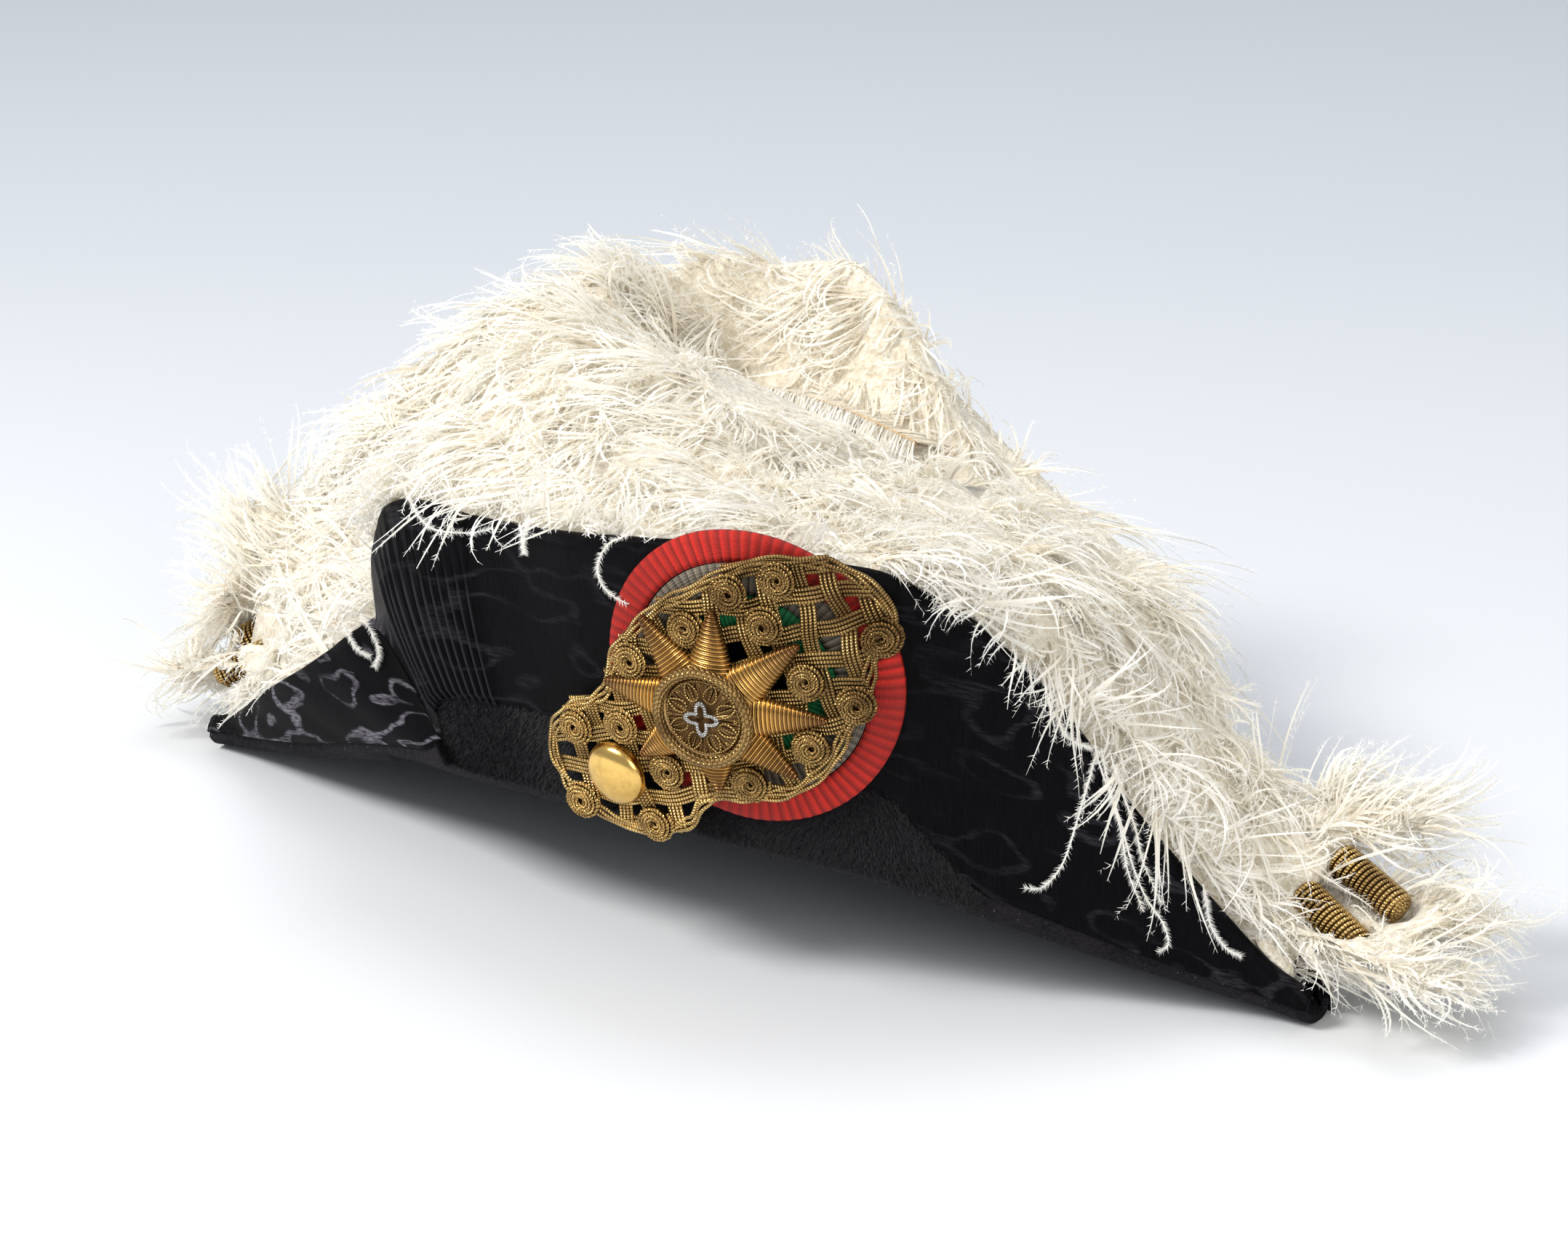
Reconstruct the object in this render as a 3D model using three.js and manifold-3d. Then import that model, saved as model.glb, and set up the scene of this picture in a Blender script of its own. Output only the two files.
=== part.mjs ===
// A bicorne hat of black plush and moire silk, with a cockade, gold cord work and ostrich feathers.
// Millimetres, +Z up, +X along the hat from tip to tip, the cockade side facing -Y.
// The hat is shaped in its own frame, with the line between its tips level,
// and then leaned back until it rests on its two tips and on the rim behind.

import * as THREE from 'three';
import { mergeVertices } from 'three/addons/utils/BufferGeometryUtils.js';
import Module from 'manifold-3d';

const wasm = await Module();
wasm.setup();

// Main sizes of the hat
const LENGTH = 420;
const RIM_WIDTH_FRONT = 76;
const RIM_WIDTH_BACK = 81;
const RIM_ARCH = 23.7;
const FRONT_HEIGHT = 89;
const FRONT_FLARE = 37;
const BACK_HEIGHT = 138;
const BACK_FLARE = 20;
const OPENING_LENGTH = 196;
const CROWN_HEIGHT = 88;
const RIM_BEND = 3.4;
const FELT = 2.4;
const REST_FLAT = 0.5;
const FINEST = 0.02;
const COARSEST = 0.4;

// Silk covers, and the clearance that every piece keeps to its neighbours
const SILK = 1.0;
const CLEARANCE = 0.35;
const SILK_SEAT = 0.52;
const PLEAT_COUNT = 12;
const PLEAT_DEPTH = 1.7;
const GATHER_COUNT = 5;
const GATHER_DEPTH = 0.9;
const BAND_BACK = 64;

// Cockade, cord work, rosettes, star and button
const COCKADE_RADIUS = 46;
const COCKADE_THICK = 1.5;
const COCKADE_SEAT = 0.8;
const COCKADE_PLEATS = 28;
const COCKADE_PLEAT_DEPTH = 0.8;
const CORD_WIDTH = 3.8;
const CORD_PITCH = 9.8;
const CORD_THICK = 2.0;
const ROSETTE_RADIUS = 6.1;
const ROSETTE_THICK = 2.2;
const STAR_RADIUS = 33;
const STAR_RISE = 4.2;
const BOSS_RISE = 1.89;
const STAR_RING_RADIUS = 13.2;
const STAR_RING_WIRE = 2.8;
const KNOT_RADIUS = 3.6;
const KNOT_WIRE = 0.6;
const BUTTON_RADIUS = 10;
const BUTTON_RISE = 6;

// Bullion rolls at the tips, and the feathers
const BULLION_RADIUS = 5.4;
const PLUME_RISE = 38;
const LOCK_WIDTH = 43;
const LOCK_THICK = 14;
const PLUME_STRIP = 7;
const SHAFT_RADIUS = 1.1;

const HALF = LENGTH / 2;
const FRONT_REACH = RIM_WIDTH_FRONT + FRONT_FLARE;
const FRONT_TOP = RIM_ARCH + FRONT_HEIGHT;

// Arch of the rim and its plan behind, at shares of the half length from the middle
const RIM = [
  { along: 0.00, width: 1.000, rise: 1.00 },
  { along: 0.10, width: 0.985, rise: 0.99 },
  { along: 0.20, width: 0.940, rise: 0.96 },
  { along: 0.30, width: 0.855, rise: 0.91 },
  { along: 0.40, width: 0.730, rise: 0.86 },
  { along: 0.50, width: 0.600, rise: 0.74 },
  { along: 0.60, width: 0.475, rise: 0.58 },
  { along: 0.70, width: 0.352, rise: 0.40 },
  { along: 0.80, width: 0.225, rise: 0.26 },
  { along: 0.90, width: 0.110, rise: 0.14 },
  { along: 1.00, width: 0.042, rise: 0.05 },
];

// Front flap, from the left tip to the right one. Its left end is drawn back past a crease and turns up
// into a round ear. foot and top are shares of the half length, rim of RIM_WIDTH_FRONT, reach of
// FRONT_REACH and height of FRONT_TOP; swell is a share of FRONT_FLARE that the flap bulges out half way up.
const FRONT_EDGE = [
  { foot: -0.990, top: -0.990, rim: 0.050, reach: 0.034, height: 0.075, swell: 0.00 },
  { foot: -0.930, top: -0.935, rim: 0.090, reach: 0.072, height: 0.100, swell: 0.00 },
  { foot: -0.857, top: -0.867, rim: 0.160, reach: 0.146, height: 0.169, swell: 0.01 },
  { foot: -0.762, top: -0.800, rim: 0.270, reach: 0.230, height: 0.235, swell: 0.02 },
  { foot: -0.667, top: -0.733, rim: 0.390, reach: 0.301, height: 0.297, swell: 0.03 },
  { foot: -0.571, top: -0.671, rim: 0.510, reach: 0.354, height: 0.360, swell: 0.04 },
  { foot: -0.476, top: -0.619, rim: 0.630, reach: 0.394, height: 0.421, swell: 0.04 },
  { foot: -0.381, top: -0.576, rim: 0.755, reach: 0.420, height: 0.479, swell: 0.00 },
  { foot: -0.314, top: -0.548, rim: 0.840, reach: 0.425, height: 0.519, swell: -0.04 },
  { foot: -0.276, top: -0.529, rim: 0.880, reach: 0.429, height: 0.546, swell: -0.08 },
  { foot: -0.257, top: -0.505, rim: 0.895, reach: 0.513, height: 0.633, swell: -0.02 },
  { foot: -0.238, top: -0.488, rim: 0.910, reach: 0.584, height: 0.719, swell: 0.08 },
  { foot: -0.219, top: -0.462, rim: 0.925, reach: 0.646, height: 0.817, swell: 0.16 },
  { foot: -0.200, top: -0.429, rim: 0.940, reach: 0.708, height: 0.883, swell: 0.20 },
  { foot: -0.176, top: -0.371, rim: 0.953, reach: 0.761, height: 0.919, swell: 0.20 },
  { foot: -0.148, top: -0.314, rim: 0.967, reach: 0.796, height: 0.925, swell: 0.17 },
  { foot: -0.114, top: -0.238, rim: 0.982, reach: 0.827, height: 0.917, swell: 0.13 },
  { foot: -0.057, top: -0.124, rim: 0.995, reach: 0.881, height: 0.925, swell: 0.10 },
  { foot: 0.038, top: 0.010, rim: 1.000, reach: 0.965, height: 0.946, swell: 0.08 },
  { foot: 0.143, top: 0.133, rim: 0.995, reach: 1.000, height: 0.973, swell: 0.06 },
  { foot: 0.248, top: 0.243, rim: 0.950, reach: 0.991, height: 0.994, swell: 0.05 },
  { foot: 0.352, top: 0.352, rim: 0.872, reach: 0.951, height: 1.000, swell: 0.04 },
  { foot: 0.452, top: 0.452, rim: 0.765, reach: 0.881, height: 1.000, swell: 0.04 },
  { foot: 0.552, top: 0.552, rim: 0.615, reach: 0.708, height: 0.923, swell: 0.04 },
  { foot: 0.657, top: 0.657, rim: 0.450, reach: 0.496, height: 0.728, swell: 0.04 },
  { foot: 0.762, top: 0.762, rim: 0.290, reach: 0.319, height: 0.468, swell: 0.03 },
  { foot: 0.867, top: 0.867, rim: 0.140, reach: 0.155, height: 0.245, swell: 0.02 },
  { foot: 0.930, top: 0.933, rim: 0.080, reach: 0.072, height: 0.128, swell: 0.00 },
  { foot: 0.990, top: 0.990, rim: 0.050, reach: 0.034, height: 0.075, swell: 0.00 },
];

// Top edge of the back flap, highest left of the middle: flare is a share of BACK_FLARE
// and height a share of BACK_HEIGHT over the rim
const BACK_EDGE = [
  { foot: -1.000, flare: 0.00, height: 0.020 },
  { foot: -0.930, flare: 0.10, height: 0.120 },
  { foot: -0.786, flare: 0.40, height: 0.565 },
  { foot: -0.620, flare: 0.65, height: 0.795 },
  { foot: -0.450, flare: 0.85, height: 0.910 },
  { foot: -0.286, flare: 1.00, height: 0.977 },
  { foot: -0.180, flare: 1.00, height: 1.000 },
  { foot: -0.024, flare: 1.00, height: 0.905 },
  { foot: 0.120, flare: 1.00, height: 0.775 },
  { foot: 0.262, flare: 1.00, height: 0.678 },
  { foot: 0.405, flare: 0.90, height: 0.596 },
  { foot: 0.533, flare: 0.80, height: 0.507 },
  { foot: 0.652, flare: 0.60, height: 0.379 },
  { foot: 0.762, flare: 0.40, height: 0.270 },
  { foot: 0.880, flare: 0.15, height: 0.106 },
  { foot: 1.000, flare: 0.00, height: 0.020 },
];

// Sections of the felt, at shares of the half length
const STATIONS = [
  -0.990, -0.91, -0.80, -0.68, -0.57, -0.49, -0.455, -0.39, -0.32, -0.276, -0.257, -0.238, -0.219,
  -0.200, -0.176, -0.148, -0.105, -0.03, 0.06, 0.15, 0.24, 0.33, 0.41, 0.465, 0.51, 0.60, 0.70,
  0.80, 0.90, 0.990,
];
const FLAP_ROWS = [0, 0.26, 0.52, 0.78, 1];
const DOME_POINTS = 7;

// Smooth line through the rows of a table, from one column to another, without overshoot
function curve(table, from, to) {
  const x = table.map((row) => row[from]);
  const y = table.map((row) => row[to]);
  const step = x.slice(1).map((v, i) => (y[i + 1] - y[i]) / (v - x[i]));
  const slope = x.map((v, i) => {
    if (i === 0) return step[0];
    if (i === x.length - 1) return step[i - 1];
    return step[i - 1] * step[i] <= 0 ? 0 : 2 * step[i - 1] * step[i] / (step[i - 1] + step[i]);
  });
  return (at) => {
    const v = Math.min(Math.max(at, x[0]), x[x.length - 1]);
    let i = 0;
    while (i < x.length - 2 && v > x[i + 1]) i += 1;
    const w = x[i + 1] - x[i];
    const t = (v - x[i]) / w;
    const a = (1 + 2 * t) * (1 - t) * (1 - t);
    const b = t * (1 - t) * (1 - t);
    return a * y[i] + b * w * slope[i] + (1 - a) * y[i + 1] - t * t * (1 - t) * w * slope[i + 1];
  };
}

const rimWidth = curve(RIM, 'along', 'width');
const rimRise = curve(RIM, 'along', 'rise');
const frontTop = curve(FRONT_EDGE, 'foot', 'top');
const frontReach = curve(FRONT_EDGE, 'foot', 'reach');
const frontHeight = curve(FRONT_EDGE, 'foot', 'height');
const frontSwell = curve(FRONT_EDGE, 'foot', 'swell');
const frontRim = curve(FRONT_EDGE, 'foot', 'rim');
const backFlare = curve(BACK_EDGE, 'foot', 'flare');
const backHeight = curve(BACK_EDGE, 'foot', 'height');

const rimZ = (s) => RIM_ARCH * rimRise(Math.abs(s));
const frontWidth = (s) => RIM_WIDTH_FRONT * frontRim(s);
const backWidth = (s) => RIM_WIDTH_BACK * rimWidth(Math.abs(s));
const bendAt = (width) => Math.min(RIM_BEND, 0.5 * width);

// Middle of the front flap's wall: s along the hat, h from 0 at the rim to 1 at the top edge
function frontFlap(s, h) {
  const width = frontWidth(s);
  const bend = bendAt(width);
  const foot = new THREE.Vector3(s * HALF, -width - bend, rimZ(s) + bend);
  const top = new THREE.Vector3(
    frontTop(s) * HALF, -frontReach(s) * FRONT_REACH, frontHeight(s) * FRONT_TOP);
  const point = foot.lerp(top, h);
  point.y -= frontSwell(s) * FRONT_FLARE * Math.sin(Math.PI * h);
  return point;
}

function backFlap(s, h) {
  const width = backWidth(s);
  const bend = bendAt(width);
  const foot = new THREE.Vector3(s * HALF, width + bend, rimZ(s) + bend);
  const top = new THREE.Vector3(
    s * HALF, width + bend + backFlare(s) * BACK_FLARE, rimZ(s) + bend + backHeight(s) * BACK_HEIGHT);
  return foot.lerp(top, h);
}

// Brim and crown between the two folds of the rim: q runs from 0 at the front to 1 at the back
function crownPoint(s, q) {
  const x = s * HALF;
  const share = Math.abs(x) / (OPENING_LENGTH / 2);
  const inside = share < 1;
  const ring = inside ? Math.sqrt(1 - share * share) : 0;
  const dome = inside ? CROWN_HEIGHT * Math.sqrt(1 - share ** 4) : 0;
  const wf = frontWidth(s) - 1.5 * bendAt(frontWidth(s));
  const wb = backWidth(s) - 1.5 * bendAt(backWidth(s));
  const front = inside ? Math.min(wf, ring * (RIM_WIDTH_FRONT - RIM_BEND)) : wf;
  const back = inside ? Math.min(wb, ring * (RIM_WIDTH_BACK - RIM_BEND)) : wb;
  const angle = Math.PI * q;
  const across = -Math.cos(angle);
  const y = across < 0 ? across * front : across * back;
  return new THREE.Vector3(x, y, rimZ(s) + dome * Math.sin(angle) ** 0.6);
}

// One section of the hat, from the top of the front flap round under the rim to the top of the back flap
function section(s) {
  const points = [...FLAP_ROWS].reverse().map((h) => frontFlap(s, h));
  const wf = frontWidth(s);
  const wb = backWidth(s);
  points.push(new THREE.Vector3(s * HALF, -wf, rimZ(s)));
  for (let i = 0; i < DOME_POINTS; i += 1) points.push(crownPoint(s, i / (DOME_POINTS - 1)));
  points.push(new THREE.Vector3(s * HALF, wb, rimZ(s)));
  points.push(...FLAP_ROWS.map((h) => backFlap(s, h)));
  return points;
}

const stationGrid = STATIONS.map(section);

// Normals of a grid of points, pointing away from the hollow under the crown and out of the flaps
function gridNormals(grid) {
  return grid.map((row, i) => row.map((_, j) => {
    const before = grid[Math.max(i - 1, 0)][j];
    const after = grid[Math.min(i + 1, grid.length - 1)][j];
    const along = after.clone().sub(before);
    const across = row[Math.min(j + 1, row.length - 1)].clone().sub(row[Math.max(j - 1, 0)]);
    return across.cross(along).normalize();
  }));
}

const stationNormals = gridNormals(stationGrid);

// Closed solid between two grids of points, the first of which faces out
function slab(outer, inner) {
  const rows = outer.length;
  const cols = outer[0].length;
  const positions = [];
  for (const grid of [outer, inner]) {
    for (const row of grid) {
      for (const p of row) positions.push(p.x, p.y, p.z);
    }
  }
  const at = (side, i, j) => side * rows * cols + i * cols + j;
  const index = [];
  const quad = (a, b, c, d) => index.push(a, b, c, a, c, d);
  for (let i = 0; i < rows - 1; i += 1) {
    for (let j = 0; j < cols - 1; j += 1) {
      quad(at(0, i, j), at(0, i, j + 1), at(0, i + 1, j + 1), at(0, i + 1, j));
      quad(at(1, i, j), at(1, i + 1, j), at(1, i + 1, j + 1), at(1, i, j + 1));
    }
  }
  for (let i = 0; i < rows - 1; i += 1) {
    quad(at(0, i, 0), at(0, i + 1, 0), at(1, i + 1, 0), at(1, i, 0));
    quad(at(0, i, cols - 1), at(1, i, cols - 1), at(1, i + 1, cols - 1), at(0, i + 1, cols - 1));
  }
  for (let j = 0; j < cols - 1; j += 1) {
    quad(at(0, 0, j), at(1, 0, j), at(1, 0, j + 1), at(0, 0, j + 1));
    quad(at(0, rows - 1, j), at(0, rows - 1, j + 1), at(1, rows - 1, j + 1), at(1, rows - 1, j));
  }
  const geometry = new THREE.BufferGeometry();
  geometry.setAttribute('position', new THREE.Float32BufferAttribute(positions, 3));
  geometry.setIndex(index);
  return geometry;
}

function moved(grid, normals, distance) {
  return grid.map((row, i) => row.map((p, j) => p.clone().addScaledVector(normals[i][j], distance)));
}

function toSolid(geometry) {
  const bare = geometry.clone();
  for (const name of Object.keys(bare.attributes)) {
    if (name !== 'position') bare.deleteAttribute(name);
  }
  const merged = mergeVertices(bare, 1e-4);
  const mesh = new wasm.Mesh({
    numProp: 3,
    vertProperties: Float32Array.from(merged.attributes.position.array),
    triVerts: Uint32Array.from(merged.index.array),
  });
  const solid = new wasm.Manifold(mesh);
  if (solid.volume() >= 0) return solid;
  mesh.triVerts.reverse();
  return new wasm.Manifold(mesh);
}

function toGeometry(solid) {
  const mesh = solid.getMesh();
  const geometry = new THREE.BufferGeometry();
  const positions = new Float32Array(mesh.numVert * 3);
  for (let i = 0; i < mesh.numVert; i += 1) {
    for (let k = 0; k < 3; k += 1) positions[3 * i + k] = mesh.vertProperties[i * mesh.numProp + k];
  }
  geometry.setAttribute('position', new THREE.BufferAttribute(positions, 3));
  geometry.setIndex([...mesh.triVerts]);
  return geometry;
}

// The largest closed surface of a solid, without what a cut has left loose and without sealed voids
function mainPiece(solid) {
  const mesh = solid.getMesh();
  const parent = Array.from({ length: mesh.numVert }, (_, i) => i);
  const find = (i) => {
    let top = i;
    while (parent[top] !== top) top = parent[top];
    parent[i] = top;
    return top;
  };
  const merged = mesh.mergeFromVert ?? [];
  merged.forEach((from, i) => { parent[find(from)] = find(mesh.mergeToVert[i]); });
  const corner = (i) => new THREE.Vector3().fromArray(mesh.vertProperties, i * mesh.numProp);
  const triangles = [];
  for (let i = 0; i < mesh.numTri; i += 1) triangles.push([0, 1, 2].map((k) => mesh.triVerts[3 * i + k]));
  for (const [a, b, c] of triangles) {
    parent[find(a)] = find(b);
    parent[find(b)] = find(c);
  }
  const volumes = new Map();
  for (const [a, b, c] of triangles) {
    const part = corner(a).dot(corner(b).cross(corner(c))) / 6;
    volumes.set(find(a), (volumes.get(find(a)) ?? 0) + part);
  }
  const largest = [...volumes].reduce((best, entry) => (entry[1] > best[1] ? entry : best))[0];
  const geometry = toGeometry(solid);
  geometry.setIndex(triangles.filter(([a]) => find(a) === largest).flat());
  return toSolid(geometry);
}

// The felt with its two faces moved out by a margin, used to keep other pieces clear of it
function feltSolid(margin, outside = margin) {
  const out = moved(stationGrid, stationNormals, FELT / 2 + outside);
  return toSolid(slab(out, moved(stationGrid, stationNormals, -FELT / 2 - margin)));
}

const feltNear = feltSolid(0.9 * CLEARANCE);
const feltAndSilk = feltSolid(4 * CLEARANCE, SILK + PLEAT_DEPTH + 3 * CLEARANCE);

// The hat leans back until the far rim and the tips lie in one plane
function leanAngle() {
  const under = moved(stationGrid, stationNormals, FELT / 2).flat();
  const tips = under.filter((p) => Math.abs(p.x) > 0.8 * HALF);
  const rim = under.filter((p) => Math.abs(p.x) < 0.5 * HALF && p.y > 0);
  const lowest = (points, angle) => Math.min(...points.map((p) => p.z * Math.cos(angle) - p.y * Math.sin(angle)));
  let level = 0;
  let steep = Math.PI / 4;
  for (let turn = 0; turn < 40; turn += 1) {
    const angle = (level + steep) / 2;
    if (lowest(rim, angle) > lowest(tips, angle)) level = angle;
    else steep = angle;
  }
  return level;
}

const LEAN = leanAngle();
const leanBack = new THREE.Matrix4().makeRotationX(-LEAN);

// Lowest point of a geometry once the hat leans back
function lowestLeaned(geometry) {
  const leaned = geometry.clone().applyMatrix4(leanBack);
  leaned.computeBoundingBox();
  return leaned.boundingBox.min.z;
}

function makeBody() {
  const felt = feltSolid(0);
  const floor = lowestLeaned(toGeometry(felt)) + REST_FLAT;
  const slabSize = 2 * LENGTH;
  const cutter = new THREE.BoxGeometry(slabSize, slabSize, LENGTH);
  cutter.translate(0, 0, floor - LENGTH / 2);
  cutter.applyMatrix4(leanBack.clone().invert());
  return mainPiece(felt.subtract(toSolid(cutter))).simplify(FINEST);
}

// Point and normal on a flap's wall between the felt's sections. side is 'front' or 'back'.
function sampleFlap(side, s, h) {
  let i = 0;
  while (i < STATIONS.length - 2 && s > STATIONS[i + 1]) i += 1;
  let k = 0;
  while (k < FLAP_ROWS.length - 2 && h > FLAP_ROWS[k + 1]) k += 1;
  const u = (s - STATIONS[i]) / (STATIONS[i + 1] - STATIONS[i]);
  const v = (h - FLAP_ROWS[k]) / (FLAP_ROWS[k + 1] - FLAP_ROWS[k]);
  const last = stationGrid[0].length - 1;
  const column = (row) => (side === 'front' ? FLAP_ROWS.length - 1 - row : last - (FLAP_ROWS.length - 1) + row);
  const blend = (grid) => {
    const low = grid[i][column(k)].clone().lerp(grid[i + 1][column(k)], u);
    const high = grid[i][column(k + 1)].clone().lerp(grid[i + 1][column(k + 1)], u);
    return low.lerp(high, v);
  };
  return { point: blend(stationGrid), normal: blend(stationNormals).normalize() };
}

// Silk over a flap: low(s) is where its lower edge lies, fold(s, h) how far its folds stand out
function makeSilk(side, stations, rowCount, low, fold) {
  const inner = [];
  const outer = [];
  for (const s of stations) {
    const innerRow = [];
    const outerRow = [];
    for (let k = 0; k <= rowCount; k += 1) {
      const from = low(s);
      const h = from + (SILK_TOP - from) * (side === 'front' ? 1 - k / rowCount : k / rowCount);
      const { point, normal } = sampleFlap(side, s, h);
      const base = FELT / 2 + SILK_SEAT;
      innerRow.push(point.clone().addScaledVector(normal, base));
      outerRow.push(point.clone().addScaledVector(normal, base + SILK + fold(s, h)));
    }
    inner.push(innerRow);
    outer.push(outerRow);
  }
  return mainPiece(toSolid(slab(outer, inner)).subtract(feltNear)).simplify(2 * FINEST);
}

// Lower edge of the front silk: whole height at both ends, above the plush band between them
const SILK_TOP = 0.985;
const SILK_LOW = [
  { foot: -1.00, low: 0.06 },
  { foot: -0.36, low: 0.06 },
  { foot: -0.29, low: 0.14 },
  { foot: -0.24, low: 0.28 },
  { foot: -0.10, low: 0.31 },
  { foot: 0.30, low: 0.30 },
  { foot: 0.45, low: 0.29 },
  { foot: 0.52, low: 0.16 },
  { foot: 0.58, low: 0.06 },
  { foot: 1.00, low: 0.06 },
];
const silkLow = curve(SILK_LOW, 'foot', 'low');

// Fans of narrow folds in the front silk, between two places along its foot
const PLEATS = { from: -0.238, to: -0.114, count: PLEAT_COUNT, depth: PLEAT_DEPTH, fade: 0.69, end: 1 };
const GATHERS = { from: 0.48, to: 0.60, count: GATHER_COUNT, depth: GATHER_DEPTH, fade: 0.26, end: 0.42 };

function fanStations(fan) {
  const steps = 2 * fan.count;
  return Array.from({ length: steps + 1 }, (_, i) => fan.from + (fan.to - fan.from) * i / steps);
}

function fanFold(fan, s, h) {
  const place = (s - fan.from) / (fan.to - fan.from);
  if (place <= 0 || place >= 1) return 0;
  const wave = 0.5 - 0.5 * Math.cos(2 * Math.PI * fan.count * place);
  const fade = (fan.end - h) / (fan.end - fan.fade);
  return fan.depth * wave * Math.min(Math.max(fade, 0), 1);
}

function frontSilkStations() {
  const fans = [PLEATS, GATHERS];
  const plain = STATIONS.filter((s) => !fans.some((fan) => s > fan.from - 1e-6 && s < fan.to + 1e-6));
  return [...plain, ...fans.flatMap(fanStations)].sort((a, b) => a - b);
}

function makeFrontSilk() {
  const fold = (s, h) => fanFold(PLEATS, s, h) + fanFold(GATHERS, s, h);
  return makeSilk('front', frontSilkStations(), 4, silkLow, fold);
}

function makeBackSilk() {
  const low = (s) => Math.max(0.06, 1 - BAND_BACK / backFlap(s, 1).distanceTo(backFlap(s, 0)));
  return makeSilk('back', STATIONS, 2, low, () => 0);
}

// Frame on the front flap at the middle of the cockade: a runs along the flap, b up it and c out of it
const COCKADE_AT = { along: 0.293, up: 0.60 };
const flapFace = FELT / 2 + SILK_SEAT + SILK;
const cockadeSpot = frontFace(COCKADE_AT.along, COCKADE_AT.up);
const axisOut = frontNormal(COCKADE_AT.along, COCKADE_AT.up);
const axisAlong = new THREE.Vector3(1, 0, 0).addScaledVector(axisOut, -axisOut.x).normalize();
const axisUp = axisOut.clone().cross(axisAlong);

function frontNormal(s, h) {
  const step = 0.01;
  const along = frontFlap(s + step, h).sub(frontFlap(s - step, h));
  const up = frontFlap(s, h + step).sub(frontFlap(s, h - step));
  return along.cross(up).normalize();
}

function frontFace(s, h) {
  return frontFlap(s, h).addScaledVector(frontNormal(s, h), flapFace);
}

// Point of the flap's face that lies at a, b in the cockade's frame, found by Newton's method
function faceAt(a, b) {
  let s = COCKADE_AT.along + a / HALF;
  let h = COCKADE_AT.up + b / FRONT_HEIGHT;
  const place = (u, v) => {
    const d = frontFace(u, v).sub(cockadeSpot);
    return [d.dot(axisAlong), d.dot(axisUp)];
  };
  for (let turn = 0; turn < 8; turn += 1) {
    const step = 1e-3;
    const [pa, pb] = place(s, h);
    const [sa, sb] = place(s + step, h);
    const [ha, hb] = place(s, h + step);
    const j = [(sa - pa) / step, (ha - pa) / step, (sb - pb) / step, (hb - pb) / step];
    const det = j[0] * j[3] - j[1] * j[2];
    s += (j[3] * (a - pa) - j[1] * (b - pb)) / det;
    h += (j[0] * (b - pb) - j[2] * (a - pa)) / det;
  }
  return { point: frontFace(s, h), normal: frontNormal(s, h) };
}

// Heights over the flap's face at which the cord work lies, and the star, and the rosettes and button
const CORD_LEVEL = COCKADE_SEAT + COCKADE_THICK + COCKADE_PLEAT_DEPTH + 3 * CLEARANCE;
const STAR_LEVEL = CORD_LEVEL + CORD_THICK + 3 * CLEARANCE;
const ROSETTE_LEVEL = CORD_LEVEL + CORD_THICK + CLEARANCE;

// Lay a flat geometry, drawn in a, b and c, over the bowed face of the flap
function laidOnFlap(geometry, level = 0) {
  const position = geometry.attributes.position;
  for (let i = 0; i < position.count; i += 1) {
    const a = position.getX(i);
    const b = position.getY(i);
    const { point } = faceAt(a, b);
    point.addScaledVector(axisOut, position.getZ(i) + level);
    position.setXYZ(i, point.x, point.y, point.z);
  }
  return geometry;
}

// Place a stiff piece, drawn round the z axis, on the flap at a, b and at a height c
function setOnFlap(object, a, b, c) {
  const { point, normal } = faceAt(a, b);
  object.position.copy(point.addScaledVector(normal, c));
  object.quaternion.setFromUnitVectors(new THREE.Vector3(0, 0, 1), normal);
  return object;
}

// One colour of the pleated cockade ribbon, between two shares of its radius
function makeRibbonRing(innerShare, outerShare) {
  const inner = innerShare * COCKADE_RADIUS + CLEARANCE / 2;
  const outer = outerShare * COCKADE_RADIUS - CLEARANCE / 2;
  const steps = 2 * COCKADE_PLEATS;
  const faces = [];
  const backs = [];
  for (let i = 0; i <= steps; i += 1) {
    const angle = 2 * Math.PI * i / steps;
    const ridge = COCKADE_PLEAT_DEPTH * (i % 2);
    const spoke = (radius, c) => new THREE.Vector3(radius * Math.cos(angle), radius * Math.sin(angle), c);
    const top = COCKADE_SEAT + COCKADE_THICK;
    faces.push([spoke(outer, top + ridge * outerShare ** 3), spoke(inner, top + ridge)]);
    backs.push([spoke(outer, COCKADE_SEAT), spoke(inner, COCKADE_SEAT)]);
  }
  return toGeometry(toSolid(laidOnFlap(ringSlab(faces, backs))).simplify(2 * FINEST));
}

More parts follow.
